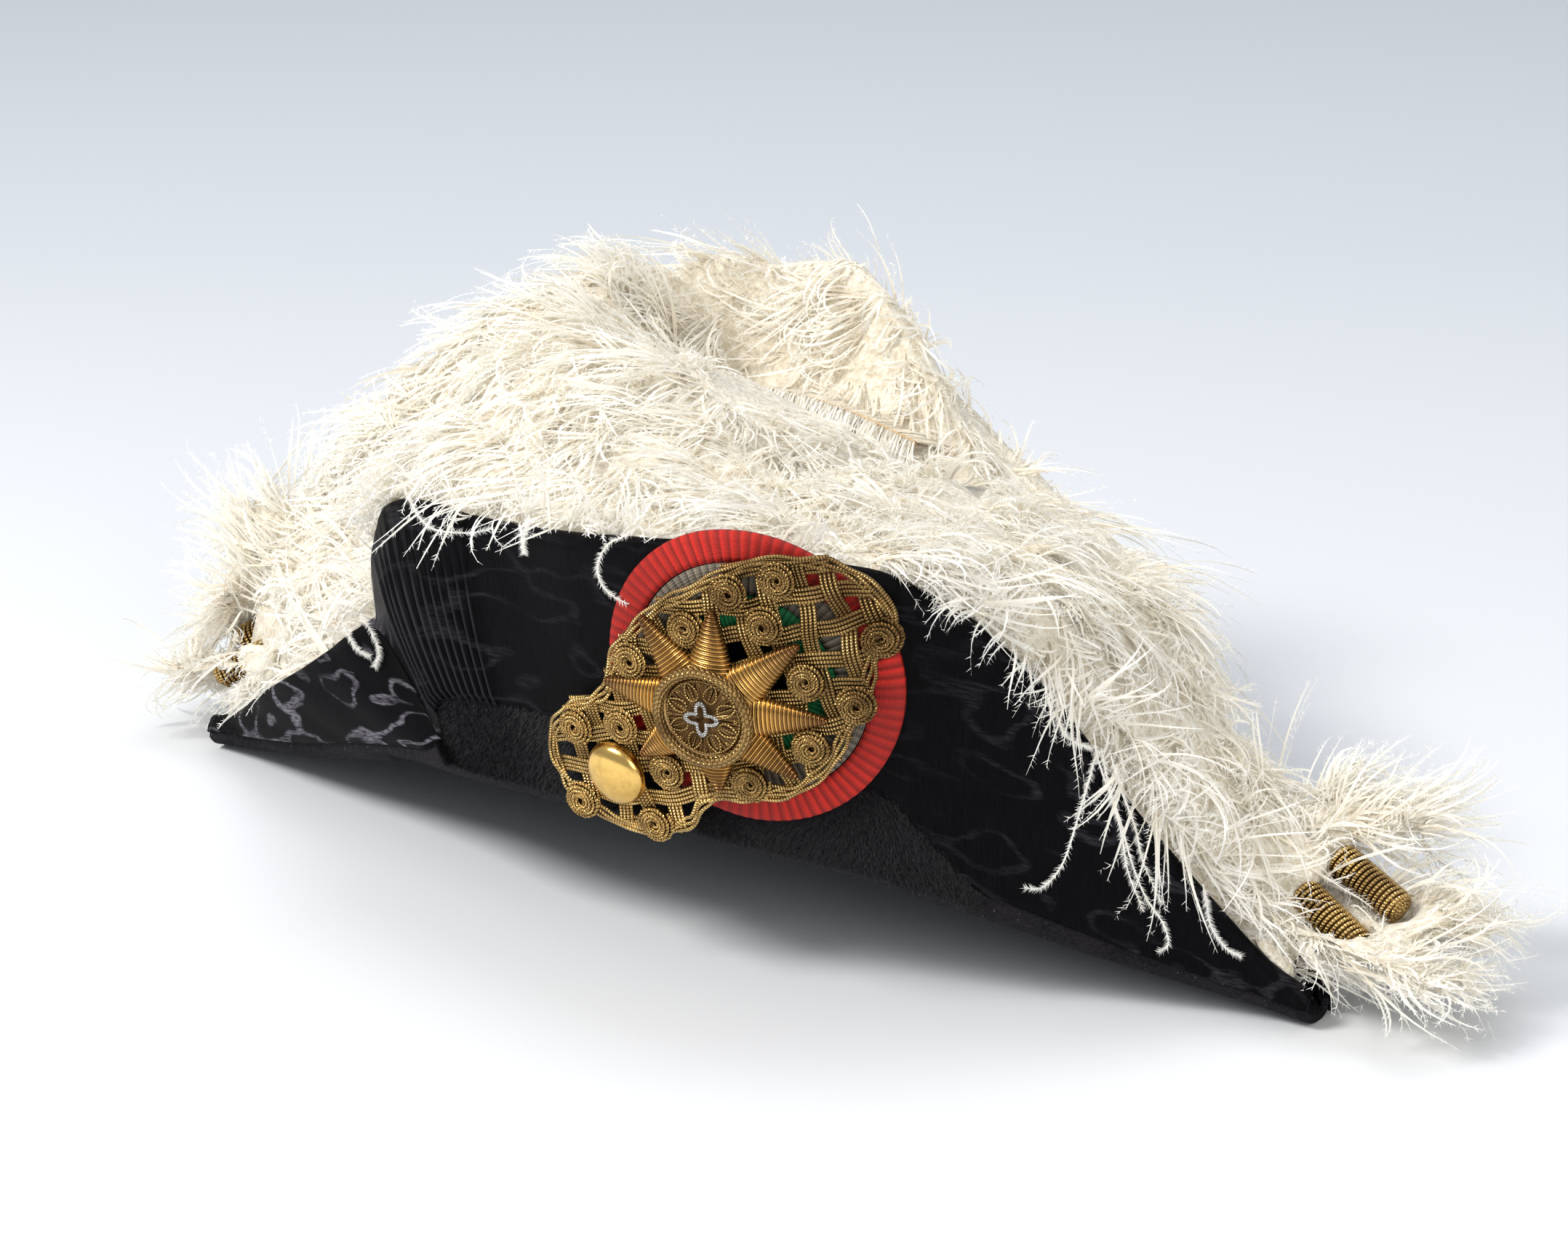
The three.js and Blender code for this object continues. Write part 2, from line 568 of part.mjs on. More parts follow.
// A slab whose first and last rows are the same: the two end strips are left out and the seam is joined
function ringSlab(outer, inner) {
  const rows = outer.length - 1;
  const cols = outer[0].length;
  const positions = [];
  for (const grid of [outer, inner]) {
    for (const row of grid.slice(0, rows)) {
      for (const p of row) positions.push(p.x, p.y, p.z);
    }
  }
  const at = (side, i, j) => side * rows * cols + (i % rows) * cols + j;
  const index = [];
  const quad = (a, b, c, d) => index.push(a, b, c, a, c, d);
  for (let i = 0; i < rows; i += 1) {
    for (let j = 0; j < cols - 1; j += 1) {
      quad(at(0, i, j), at(0, i + 1, j), at(0, i + 1, j + 1), at(0, i, j + 1));
      quad(at(1, i, j), at(1, i, j + 1), at(1, i + 1, j + 1), at(1, i + 1, j));
    }
    quad(at(0, i, 0), at(1, i, 0), at(1, i + 1, 0), at(0, i + 1, 0));
    quad(at(0, i, cols - 1), at(0, i + 1, cols - 1), at(1, i + 1, cols - 1), at(1, i, cols - 1));
  }
  const geometry = new THREE.BufferGeometry();
  geometry.setAttribute('position', new THREE.Float32BufferAttribute(positions, 3));
  geometry.setIndex(index);
  return geometry;
}

// Outline of the open cord work in shares of the cockade's radius: a large lobe over the cockade
// and a small one round the button
const CORD_OUTLINE = [
  { a: -1.04, b: -0.17 }, { a: -0.96, b: 0.09 }, { a: -0.79, b: 0.28 }, { a: -0.61, b: 0.46 },
  { a: -0.41, b: 0.60 }, { a: -0.17, b: 0.74 }, { a: 0.09, b: 0.85 }, { a: 0.37, b: 0.91 },
  { a: 0.65, b: 0.90 }, { a: 0.87, b: 0.74 }, { a: 1.00, b: 0.50 }, { a: 0.90, b: 0.26 },
  { a: 0.85, b: 0.07 }, { a: 0.81, b: -0.11 }, { a: 0.70, b: -0.26 }, { a: 0.61, b: -0.46 },
  { a: 0.43, b: -0.65 }, { a: 0.24, b: -0.77 }, { a: 0.00, b: -0.84 }, { a: -0.22, b: -0.85 },
  { a: -0.34, b: -0.91 }, { a: -0.43, b: -1.07 }, { a: -0.61, b: -1.17 }, { a: -0.87, b: -1.21 },
  { a: -1.15, b: -1.16 }, { a: -1.38, b: -1.05 }, { a: -1.48, b: -0.89 }, { a: -1.52, b: -0.72 },
  { a: -1.48, b: -0.52 }, { a: -1.33, b: -0.36 }, { a: -1.15, b: -0.28 },
];
const CORD_TURN = 0.2;

function insideMargin(points, x, y) {
  let inside = false;
  let near = Infinity;
  points.forEach((p, i) => {
    const q = points[(i + 1) % points.length];
    if ((p.y > y) !== (q.y > y) && x < (q.x - p.x) * (y - p.y) / (q.y - p.y) + p.x) inside = !inside;
    const t = ((x - p.x) * (q.x - p.x) + (y - p.y) * (q.y - p.y)) / p.distanceToSquared(q);
    const k = Math.min(Math.max(t, 0), 1);
    near = Math.min(near, Math.hypot(x - p.x - k * (q.x - p.x), y - p.y - k * (q.y - p.y)));
  });
  return inside ? near : -near;
}

function makeCordWork() {
  const outline = CORD_OUTLINE.map(({ a, b }) => new THREE.Vector2(a * COCKADE_RADIUS, b * COCKADE_RADIUS));
  const shape = new THREE.Shape([...outline].reverse());
  const reach = Math.ceil(2 * COCKADE_RADIUS / CORD_PITCH);
  const gap = CORD_PITCH - CORD_WIDTH;
  for (let i = -reach; i <= reach; i += 1) {
    for (let j = -reach; j <= reach; j += 1) {
      const centre = new THREE.Vector2(i * CORD_PITCH, j * CORD_PITCH).rotateAround(new THREE.Vector2(), CORD_TURN);
      if (insideMargin(outline, centre.x, centre.y) > 0.62 * gap + 0.5 * CORD_WIDTH) {
        const corners = [0, 1, 2, 3].map((k) => {
          const angle = CORD_TURN + Math.PI / 4 - k * Math.PI / 2;
          const corner = new THREE.Vector2(Math.cos(angle), Math.sin(angle));
          return corner.multiplyScalar(gap * Math.SQRT1_2).add(centre);
        });
        shape.holes.push(new THREE.Path(corners));
      }
    }
  }
  const geometry = new THREE.ExtrudeGeometry(shape, { depth: CORD_THICK, bevelEnabled: false });
  return laidOnFlap(geometry, CORD_LEVEL);
}

// Rosettes of coiled gold thread, in shares of the cockade's radius from its middle
const ROSETTES = [
  { a: -0.05, b: 0.63 }, { a: 0.28, b: 0.75 }, { a: -0.37, b: 0.35 }, { a: 0.17, b: 0.43 },
  { a: -0.79, b: 0.06 }, { a: 0.43, b: 0.08 }, { a: 0.91, b: 0.38 }, { a: 0.74, b: -0.07 },
  { a: 0.43, b: -0.38 }, { a: 0.00, b: -0.68 }, { a: -1.27, b: -0.51 }, { a: -0.90, b: -0.42 },
  { a: -0.58, b: -0.68 }, { a: -0.72, b: -1.09 }, { a: -1.28, b: -1.05 },
];

function makeRosette() {
  const sides = 8;
  const dip = 0.45 * ROSETTE_THICK;
  return new THREE.LatheGeometry([
    new THREE.Vector2(0, 0),
    new THREE.Vector2(ROSETTE_RADIUS, 0.25 * ROSETTE_THICK),
    new THREE.Vector2(0.55 * ROSETTE_RADIUS, ROSETTE_THICK),
    new THREE.Vector2(0, dip),
  ], sides).rotateX(Math.PI / 2);
}

// Star: rays with their own directions in turns and lengths in shares of STAR_RADIUS
const STAR_AT = { a: -0.23, b: -0.18 };
const STAR_RAYS = [
  { turn: 0.000, length: 1.10 }, { turn: 0.108, length: 1.13 }, { turn: 0.236, length: 0.96 },
  { turn: 0.357, length: 1.02 }, { turn: 0.485, length: 1.07 }, { turn: 0.604, length: 0.93 },
  { turn: 0.753, length: 0.81 }, { turn: 0.897, length: 0.97 },
];

function makeStar() {
  const hub = 1.03 * STAR_RING_RADIUS;
  const sections = [
    { out: 0.55 * hub, wide: 0.42 * hub, high: 0.75 },
    { out: hub, wide: 0.40 * hub, high: 0.98 },
    { out: 0, wide: 0.06 * hub, high: 0.3 },
  ];
  let solid = toSolid(new THREE.LatheGeometry([
    new THREE.Vector2(0, 0), new THREE.Vector2(hub, 0),
    new THREE.Vector2(hub, STAR_RISE), new THREE.Vector2(0, STAR_RISE),
  ], 16).rotateX(Math.PI / 2));
  for (const ray of STAR_RAYS) {
    const rows = sections.map(({ out, wide, high }) => {
      const x = out || ray.length * STAR_RADIUS;
      return [[-1, 0], [0, 1], [1, 0]].map(
        ([y, z]) => new THREE.Vector3(x, y * wide, z * high * STAR_RISE));
    });
    const floorRows = rows.map((row) => row.map((p) => new THREE.Vector3(p.x, p.y, p.z === 0 ? -0.01 : 0)));
    const blade = toSolid(slab(rows, floorRows).rotateZ(2 * Math.PI * ray.turn));
    solid = solid.add(blade);
  }
  const geometry = toGeometry(solid.simplify(2 * FINEST));
  geometry.translate(STAR_AT.a * COCKADE_RADIUS, STAR_AT.b * COCKADE_RADIUS, 0);
  return laidOnFlap(geometry, STAR_LEVEL);
}

const STAR_TOP = STAR_LEVEL + STAR_RISE + 1.6 * CLEARANCE;

// Lay a piece drawn round the star's middle on top of the star
function laidOnStar(geometry, lift = 0) {
  geometry.translate(STAR_AT.a * COCKADE_RADIUS, STAR_AT.b * COCKADE_RADIUS, lift);
  return laidOnFlap(geometry, STAR_TOP);
}

function makeStarRing() {
  const sides = 5;
  const wire = Array.from({ length: sides + 1 }, (_, i) => {
    const angle = 2 * Math.PI * i / sides;
    return new THREE.Vector2(
      STAR_RING_RADIUS + STAR_RING_WIRE * Math.cos(angle), STAR_RING_WIRE * (0.87 + Math.sin(angle)));
  });
  return laidOnStar(new THREE.LatheGeometry(wire, 16).rotateX(Math.PI / 2));
}

// Embossed disc inside the star's ring: petals round a plain middle
function makeStarBoss() {
  const radius = STAR_RING_RADIUS - STAR_RING_WIRE - CLEARANCE;
  const high = BOSS_RISE;
  const petals = 8;
  const geometry = new THREE.LatheGeometry([
    new THREE.Vector2(0, 0), new THREE.Vector2(radius, 0), new THREE.Vector2(radius, 0.45 * high),
    new THREE.Vector2(0.78 * radius, 0.7 * high), new THREE.Vector2(0.42 * radius, 0.8 * high),
    new THREE.Vector2(0, 0.8 * high),
  ], 2 * petals).rotateX(Math.PI / 2);
  const position = geometry.attributes.position;
  for (let i = 0; i < position.count; i += 1) {
    const x = position.getX(i);
    const y = position.getY(i);
    const out = Math.hypot(x, y) / radius;
    if (out > 0.7 && out < 0.9) {
      position.setZ(i, position.getZ(i) + 0.3 * high * Math.cos(petals * Math.atan2(y, x)));
    }
  }
  return laidOnStar(geometry);
}

// Silver wire knot: one closed wire in four plain loops
class FourLoops extends THREE.Curve {
  getPoint(t) {
    const angle = 2 * Math.PI * t;
    const radius = KNOT_RADIUS * (0.72 + 0.28 * Math.cos(4 * angle));
    return new THREE.Vector3(radius * Math.cos(angle), radius * Math.sin(angle), 0);
  }
}

// Closed tube round a closed curve that lies flat
function flatTube(path, radius, steps, sides) {
  const rows = [];
  for (let i = 0; i <= steps; i += 1) {
    const t = (i % steps) / steps;
    const centre = path.getPoint(t);
    const tangent = path.getPoint((t + 0.002) % 1).sub(path.getPoint((t + 0.998) % 1)).normalize();
    const side = new THREE.Vector3(-tangent.y, tangent.x, 0);
    rows.push(Array.from({ length: sides }, (_, k) => {
      const angle = 2 * Math.PI * k / sides;
      return centre.clone().addScaledVector(side, radius * Math.cos(angle)).add(
        new THREE.Vector3(0, 0, radius * Math.sin(angle)));
    }));
  }
  return loopMesh(rows.slice(0, steps), true);
}

// Surface through closed rings of points, either joined end to start or closed with two fans
function loopMesh(rings, joined) {
  const sides = rings[0].length;
  const positions = rings.flat().flatMap((p) => [p.x, p.y, p.z]);
  const index = [];
  const last = joined ? rings.length : rings.length - 1;
  for (let i = 0; i < last; i += 1) {
    for (let k = 0; k < sides; k += 1) {
      const a = i * sides + k;
      const b = i * sides + (k + 1) % sides;
      const c = ((i + 1) % rings.length) * sides + (k + 1) % sides;
      const d = ((i + 1) % rings.length) * sides + k;
      index.push(a, b, c, a, c, d);
    }
  }
  if (!joined) {
    const end = (rings.length - 1) * sides;
    for (let k = 1; k < sides - 1; k += 1) {
      index.push(0, k + 1, k);
      index.push(end, end + k, end + k + 1);
    }
  }
  const geometry = new THREE.BufferGeometry();
  geometry.setAttribute('position', new THREE.Float32BufferAttribute(positions, 3));
  geometry.setIndex(index);
  return geometry;
}

function makeKnot() {
  const lift = 0.8 * BOSS_RISE + CLEARANCE + KNOT_WIRE;
  return laidOnStar(flatTube(new FourLoops(), KNOT_WIRE, 28, 3), lift);
}

const BUTTON_AT = { a: -0.97, b: -0.77 };
function makeButton() {
  return new THREE.LatheGeometry([
    new THREE.Vector2(0, 0),
    new THREE.Vector2(0.86 * BUTTON_RADIUS, 0),
    new THREE.Vector2(BUTTON_RADIUS, 0.16 * BUTTON_RISE),
    new THREE.Vector2(0.93 * BUTTON_RADIUS, 0.42 * BUTTON_RISE),
    new THREE.Vector2(0.70 * BUTTON_RADIUS, 0.76 * BUTTON_RISE),
    new THREE.Vector2(0.36 * BUTTON_RADIUS, 0.95 * BUTTON_RISE),
    new THREE.Vector2(0, BUTTON_RISE),
  ], 16).rotateX(Math.PI / 2);
}

// Place in the hat's own frame from shares: x of the half length, y of the rim's width behind,
// z of the back flap's height
function spot({ x, y, z }) {
  return new THREE.Vector3(x * HALF, y * RIM_WIDTH_BACK, z * BACK_HEIGHT);
}

const BULLIONS = [
  { name: 'bullion_left_1', from: { x: -0.905, y: -0.02, z: 0.26 }, to: { x: -0.995, y: -0.05, z: 0.17 } },
  { name: 'bullion_left_2', from: { x: -0.914, y: 0.12, z: 0.345 }, to: { x: -1.000, y: 0.08, z: 0.255 } },
  { name: 'bullion_right_1', from: { x: 0.933, y: 0.03, z: 0.268 }, to: { x: 1.043, y: 0.00, z: 0.180 } },
  { name: 'bullion_right_2', from: { x: 0.952, y: 0.18, z: 0.345 }, to: { x: 1.067, y: 0.16, z: 0.262 } },
];

// Roll of gold wire between two places, with its ends drawn in; margin makes it larger all round
function makeBullion({ from, to }, margin = 0) {
  const start = spot(from);
  const axis = spot(to).sub(start);
  const length = axis.length();
  const radius = BULLION_RADIUS;
  const geometry = new THREE.LatheGeometry([
    new THREE.Vector2(0, -margin),
    new THREE.Vector2(0.75 * radius + margin, -margin),
    new THREE.Vector2(radius + margin, 0.3 * radius),
    new THREE.Vector2(radius + margin, length - 0.3 * radius),
    new THREE.Vector2(0.75 * radius + margin, length + margin),
    new THREE.Vector2(0, length + margin),
  ], 8);
  geometry.applyQuaternion(new THREE.Quaternion().setFromUnitVectors(
    new THREE.Vector3(0, 1, 0), axis.normalize()));
  geometry.translate(start.x, start.y, start.z);
  return geometry;
}

// One lock of feather: a flattened, curved, tapering body
function lock(from, bend, to, width, thick) {
  const path = new THREE.QuadraticBezierCurve3(from, bend, to);
  const rings = [
    { t: 0, size: 0.66 }, { t: 0.45, size: 1 }, { t: 0.8, size: 1 }, { t: 1, size: 0.6 },
  ].map(({ t, size }) => {
    const centre = path.getPoint(t);
    const tangent = path.getTangent(t);
    const side = new THREE.Vector3(1, 0, 0).addScaledVector(tangent, -tangent.x);
    if (side.length() < 0.35) side.set(0, 1, 0).addScaledVector(tangent, -tangent.y);
    side.normalize();
    const out = tangent.clone().cross(side);
    return [0, 1, 2, 3].map((k) => {
      const angle = 2 * Math.PI * k / 4;
      return centre.clone()
        .addScaledVector(side, 0.5 * width * size * Math.cos(angle))
        .addScaledVector(out, 0.5 * thick * size * Math.sin(angle));
    });
  });
  return toSolid(loopMesh(rings, false));
}

// Feathers along the back flap: rise is a share of PLUME_RISE over the flap's top edge
const BACK_LOCKS = [
  { along: -0.92, rise: 0.85 }, { along: -0.73, rise: 1.02 }, { along: -0.54, rise: 1.06 },
  { along: -0.35, rise: 1.08 }, { along: -0.16, rise: 1.00 }, { along: 0.03, rise: 0.66 },
  { along: 0.22, rise: 0.47 }, { along: 0.42, rise: 0.46 }, { along: 0.62, rise: 0.55 },
  { along: 0.82, rise: 0.74 },
];

// Feathers that fall from the back flap over the crown, and those along the front flap
const FALL_LOCKS = [-0.50, -0.24, 0.02, 0.28, 0.54];
const FRONT_LOCKS = [
  { along: -0.82, rise: 0.72 }, { along: -0.60, rise: 0.92 }, { along: -0.38, rise: 0.95 },
  { along: -0.16, rise: 0.75 }, { along: 0.06, rise: 0.69 }, { along: 0.28, rise: 0.64 },
  { along: 0.50, rise: 0.60 }, { along: 0.72, rise: 0.68 },
];

// Feather ends that spread past the tips, in the shares that spot() takes
const END_LOCKS = [
  { from: { x: -0.86, y: 0.14, z: 0.30 }, to: { x: -1.06, y: 0.14, z: 0.58 }, lift: 0.10 },
  { from: { x: -0.86, y: 0.18, z: 0.26 }, to: { x: -1.10, y: 0.24, z: 0.30 }, lift: 0.10 },
  { from: { x: -0.84, y: 0.04, z: 0.24 }, to: { x: -1.12, y: 0.02, z: 0.13 }, lift: 0.02 },
  { from: { x: 0.84, y: 0.22, z: 0.34 }, to: { x: 1.07, y: 0.34, z: 0.45 }, lift: 0.06 },
  { from: { x: 0.86, y: 0.24, z: 0.22 }, to: { x: 1.17, y: 0.28, z: 0.24 }, lift: 0.06 },
  { from: { x: 0.84, y: 0.02, z: 0.22 }, to: { x: 1.20, y: 0.00, z: 0.14 }, lift: 0.02 },
];

// Strip inside a flap's top edge that the feathers are sewn to
function makeStrip(side) {
  const outer = [];
  const inner = [];
  for (const s of STATIONS.filter((_, i) => i % 3 === 1)) {
    const rows = [0.80, 0.95].map((h) => sampleFlap(side, s, side === 'front' ? 1.75 - h : h));
    const near = FELT / 2 + 1.6 * CLEARANCE;
    outer.push(rows.map(({ point, normal }) => point.clone().addScaledVector(normal, -near)));
    inner.push(rows.map(({ point, normal }) => point.clone().addScaledVector(normal, -near - PLUME_STRIP)));
  }
  return toSolid(slab(outer, inner));
}

function makePlumeMass() {
  const inset = FELT / 2 + 0.5 * PLUME_STRIP + 1.6 * CLEARANCE;
  const root = (side, s) => {
    const { point, normal } = sampleFlap(side, s, 0.88);
    return point.addScaledVector(normal, -inset);
  };
  let mass = makeStrip('front').add(makeStrip('back'));
  for (const { along, rise } of BACK_LOCKS) {
    const from = root('back', along);
    const edge = backFlap(along, 1);
    const high = edge.z + rise * PLUME_RISE;
    const to = new THREE.Vector3(edge.x + 0.05 * along * HALF, 0.72 * edge.y, high - 0.5 * LOCK_THICK);
    const bend = new THREE.Vector3(edge.x, 0.96 * edge.y - 0.5 * LOCK_THICK, high);
    mass = mass.add(lock(from, bend, to, 1.4 * LOCK_WIDTH, LOCK_THICK));
  }
  for (const along of FALL_LOCKS) {
    const from = root('back', along);
    const front = frontFlap(along, 1);
    const to = new THREE.Vector3(from.x, 0.25 * front.y, front.z + 0.2 * PLUME_RISE);
    const bend = new THREE.Vector3(from.x, 0.45 * from.y, Math.max(from.z, front.z + 0.35 * PLUME_RISE));
    mass = mass.add(lock(from, bend, to, 1.25 * LOCK_WIDTH, LOCK_THICK));
  }
  for (const { along, rise } of FRONT_LOCKS) {
    const from = root('front', along);
    const edge = frontFlap(along, 1);
    const high = edge.z + rise * 0.6 * PLUME_RISE;
    const bend = new THREE.Vector3(edge.x, 0.80 * edge.y, high + 0.3 * LOCK_THICK);
    const to = new THREE.Vector3(edge.x, 0.38 * edge.y, high);
    mass = mass.add(lock(from, bend, to, 1.2 * LOCK_WIDTH, LOCK_THICK));
  }
  for (const { from, to, lift } of END_LOCKS) {
    const start = spot(from);
    const end = spot(to);
    const bend = start.clone().lerp(end, 0.6);
    bend.z += lift * BACK_HEIGHT;
    mass = mass.add(lock(start, bend, end, 0.8 * LOCK_WIDTH, LOCK_THICK));
  }
  return mass;
}

// Bare quill that lies on the feathers in front of the back flap. depth is a share of how far back the
// flap's top edge stands, and rise a share of PLUME_RISE over that edge
const SHAFT = [
  { along: -0.34, depth: 0.788, rise: -0.298 }, { along: -0.22, depth: 0.699, rise: -0.412 },
  { along: -0.10, depth: 0.659, rise: -0.399 }, { along: 0.02, depth: 0.645, rise: -0.196 },
];
const SHAFT_SIDES = 6;
function shaftTube(radius) {
  const path = new THREE.CatmullRomCurve3(SHAFT.map(({ along, depth, rise }) => {
    const edge = backFlap(along, 1);
    return new THREE.Vector3(edge.x, depth * edge.y, edge.z + rise * PLUME_RISE);
  }));
  const ring = Array.from({ length: SHAFT_SIDES }, (_, k) => {
    const angle = 2 * Math.PI * k / SHAFT_SIDES;
    return new THREE.Vector2(radius * Math.cos(angle), radius * Math.sin(angle));
  });
  return new THREE.ExtrudeGeometry(new THREE.Shape(ring), { steps: 8, extrudePath: path });
}

// Clearance of the feathers to the felt, which is cut out of them again shifted each way
const FELT_MARGIN = 1.4;

// The feathers are built in one and parted into four nodes by these zones
const ZONES = [
  { name: 'plume_left', x: [-2, -0.83], y: [-4, 4] },
  { name: 'plume_right', x: [0.81, 2], y: [-4, 4] },
  { name: 'plume_front', x: [-0.83, 0.81], y: [-4, -0.26] },
  { name: 'plume_back', x: [-0.83, 0.81], y: [-0.26, 4] },
];

function makePlumes() {
  let mass = makePlumeMass().subtract(feltAndSilk);
  for (const way of [[1, 0, 0], [0, 1, 0], [0, 0, 1]]) {
    for (const turn of [-1, 1]) mass = mass.subtract(body.translate(way.map((v) => v * turn * FELT_MARGIN)));
  }
  for (const bullion of BULLIONS) mass = mass.subtract(toSolid(makeBullion(bullion, 3 * CLEARANCE)));
  mass = mass.subtract(toSolid(shaftTube(SHAFT_RADIUS + 3 * CLEARANCE)));
  const half = CLEARANCE / 2;
  return ZONES.map(({ name, x, y }) => {
    const size = [(x[1] - x[0]) * HALF - 2 * half, (y[1] - y[0]) * RIM_WIDTH_BACK - 2 * half, 4 * LENGTH];
    const box = new THREE.BoxGeometry(...size);
    box.translate((x[0] + x[1]) / 2 * HALF, (y[0] + y[1]) / 2 * RIM_WIDTH_BACK, 0);
    return { name, geometry: toGeometry(mainPiece(mainPiece(mass.intersect(toSolid(box))).simplify(COARSEST))) };
  });
}

// Materials
const material = (color, roughness, metalness = 0) => new THREE.MeshStandardMaterial({ color, roughness, metalness });
const MATERIALS = {
  plush: material(0x0b0a0c, 0.95),
  silk: material(0x131216, 0.45),
  red: material(0xb5251b, 0.6),
  silver: material(0x77706a, 0.55, 0.3),
  green: material(0x1c8a49, 0.5),
  gold: material(0xa88445, 0.42, 0.9),
  oldGold: material(0x7d5f31, 0.5, 0.85),
  bright: material(0xd9a842, 0.18, 1.0),
  silverWire: material(0xb9b6b4, 0.4, 0.8),
  feather: material(0xece3d2, 0.9),
  quill: material(0xc2a071, 0.6),
};

const hat = new THREE.Group();
function addPiece(name, geometry, kind) {
  const mesh = new THREE.Mesh(geometry, MATERIALS[kind]);
  mesh.name = name;
  hat.add(mesh);
  return mesh;
}

const body = makeBody();
addPiece('body', toGeometry(body), 'plush');
addPiece('silk_front', toGeometry(makeFrontSilk()), 'silk');
addPiece('silk_back', toGeometry(makeBackSilk()), 'silk');
addPiece('cockade_red', makeRibbonRing(0.79, 1), 'red');
addPiece('cockade_silver', makeRibbonRing(0.58, 0.79), 'silver');
addPiece('cockade_green', makeRibbonRing(0.36, 0.58), 'green');
addPiece('cord_work', makeCordWork(), 'gold');
ROSETTES.forEach(({ a, b }, i) => {
  const name = `rosette_${String(i + 1).padStart(2, '0')}`;
  const place = [a * COCKADE_RADIUS, b * COCKADE_RADIUS];
  setOnFlap(addPiece(name, makeRosette(), 'oldGold'), ...place, ROSETTE_LEVEL);
});
addPiece('star', makeStar(), 'gold');
addPiece('star_ring', makeStarRing(), 'oldGold');
addPiece('star_boss', makeStarBoss(), 'gold');
addPiece('star_knot', makeKnot(), 'silverWire');
const buttonPlace = [BUTTON_AT.a * COCKADE_RADIUS, BUTTON_AT.b * COCKADE_RADIUS];
setOnFlap(addPiece('button', makeButton(), 'bright'), ...buttonPlace, ROSETTE_LEVEL);
for (const bullion of BULLIONS) addPiece(bullion.name, makeBullion(bullion), 'gold');
for (const { name, geometry } of makePlumes()) addPiece(name, geometry, 'feather');
addPiece('feather_shaft', shaftTube(SHAFT_RADIUS), 'quill');

hat.rotation.x = -LEAN;
hat.updateMatrixWorld(true);
const box = new THREE.Box3().setFromObject(hat, true);
hat.position.set(-(box.min.x + box.max.x) / 2, -(box.min.y + box.max.y) / 2, -box.min.z);

const root = new THREE.Group();
root.add(hat);

export default root;
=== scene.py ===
"""Looks of a bicorne hat: black plush and moire silk, cockade, gold cord work and ostrich feathers.

The hat is drawn in its own frame in millimetres, with the line between its tips level, and each piece
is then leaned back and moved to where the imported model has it, in metres.
"""

import math

import bmesh
import bpy
import numpy as np
from mathutils import Matrix, Vector
from mathutils.bvhtree import BVHTree


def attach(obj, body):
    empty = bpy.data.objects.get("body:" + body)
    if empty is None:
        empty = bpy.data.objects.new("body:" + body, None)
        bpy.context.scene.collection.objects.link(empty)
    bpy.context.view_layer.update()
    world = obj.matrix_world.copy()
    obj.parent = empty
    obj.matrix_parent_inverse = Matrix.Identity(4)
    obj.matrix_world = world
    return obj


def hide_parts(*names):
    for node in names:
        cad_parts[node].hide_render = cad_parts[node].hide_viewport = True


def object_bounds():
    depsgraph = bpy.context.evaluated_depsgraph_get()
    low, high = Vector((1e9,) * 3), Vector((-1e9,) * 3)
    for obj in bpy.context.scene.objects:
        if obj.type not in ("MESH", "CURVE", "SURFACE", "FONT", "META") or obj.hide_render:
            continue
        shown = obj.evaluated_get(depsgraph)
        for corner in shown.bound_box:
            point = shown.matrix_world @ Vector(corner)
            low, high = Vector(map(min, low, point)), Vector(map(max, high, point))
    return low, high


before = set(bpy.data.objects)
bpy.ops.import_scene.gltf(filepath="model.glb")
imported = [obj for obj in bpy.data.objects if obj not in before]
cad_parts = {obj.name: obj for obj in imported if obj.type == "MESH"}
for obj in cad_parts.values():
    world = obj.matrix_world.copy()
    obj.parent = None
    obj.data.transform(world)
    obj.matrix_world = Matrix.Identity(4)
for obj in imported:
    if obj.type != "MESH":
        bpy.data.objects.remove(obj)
BOX = [[float(v) for v in corner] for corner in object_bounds()]
RNG = np.random.default_rng(206)

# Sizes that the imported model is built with, in millimetres
HALF = 210.0
RIM_WIDTH_FRONT, RIM_WIDTH_BACK = 76.0, 81.0
RIM_ARCH, RIM_BEND = 23.7, 3.4
FRONT_HEIGHT, FRONT_FLARE = 89.0, 37.0
BACK_HEIGHT, BACK_FLARE = 138.0, 20.0
OPENING_LENGTH, CROWN_HEIGHT = 196.0, 88.0
FELT, SILK, SILK_SEAT = 2.4, 1.0, 0.52
BAND_BACK = 64.0
COCKADE_RADIUS, COCKADE_PLEATS = 46.0, 28
COCKADE_SEAT, COCKADE_THICK, COCKADE_PLEAT_DEPTH = 0.8, 1.5, 0.8
CLEARANCE = 0.35
CORD_PITCH, CORD_TURN = 9.8, 0.2
CORD_LEVEL, ROSETTE_LEVEL, STAR_LEVEL, STAR_TOP = 4.15, 6.5, 7.2, 11.96
ROSETTE_RADIUS, ROSETTE_THICK = 6.1, 2.2
STAR_RADIUS, STAR_RISE, STAR_RING_RADIUS, STAR_RING_WIRE = 33.0, 4.2, 14.2, 1.9
BUTTON_RADIUS, BUTTON_RISE = 10.0, 6.0
BULLION_RADIUS = 5.4
FRONT_REACH = RIM_WIDTH_FRONT + FRONT_FLARE
FRONT_TOP = RIM_ARCH + FRONT_HEIGHT
FLAP_FACE = FELT / 2 + SILK_SEAT + SILK

# Place of the hat's own frame in the model: a lean about X and a shift in millimetres
LEAN = 0.2821136376682437
SHIFT = np.array([-7.066680908, -25.46143958, 0.4506663])

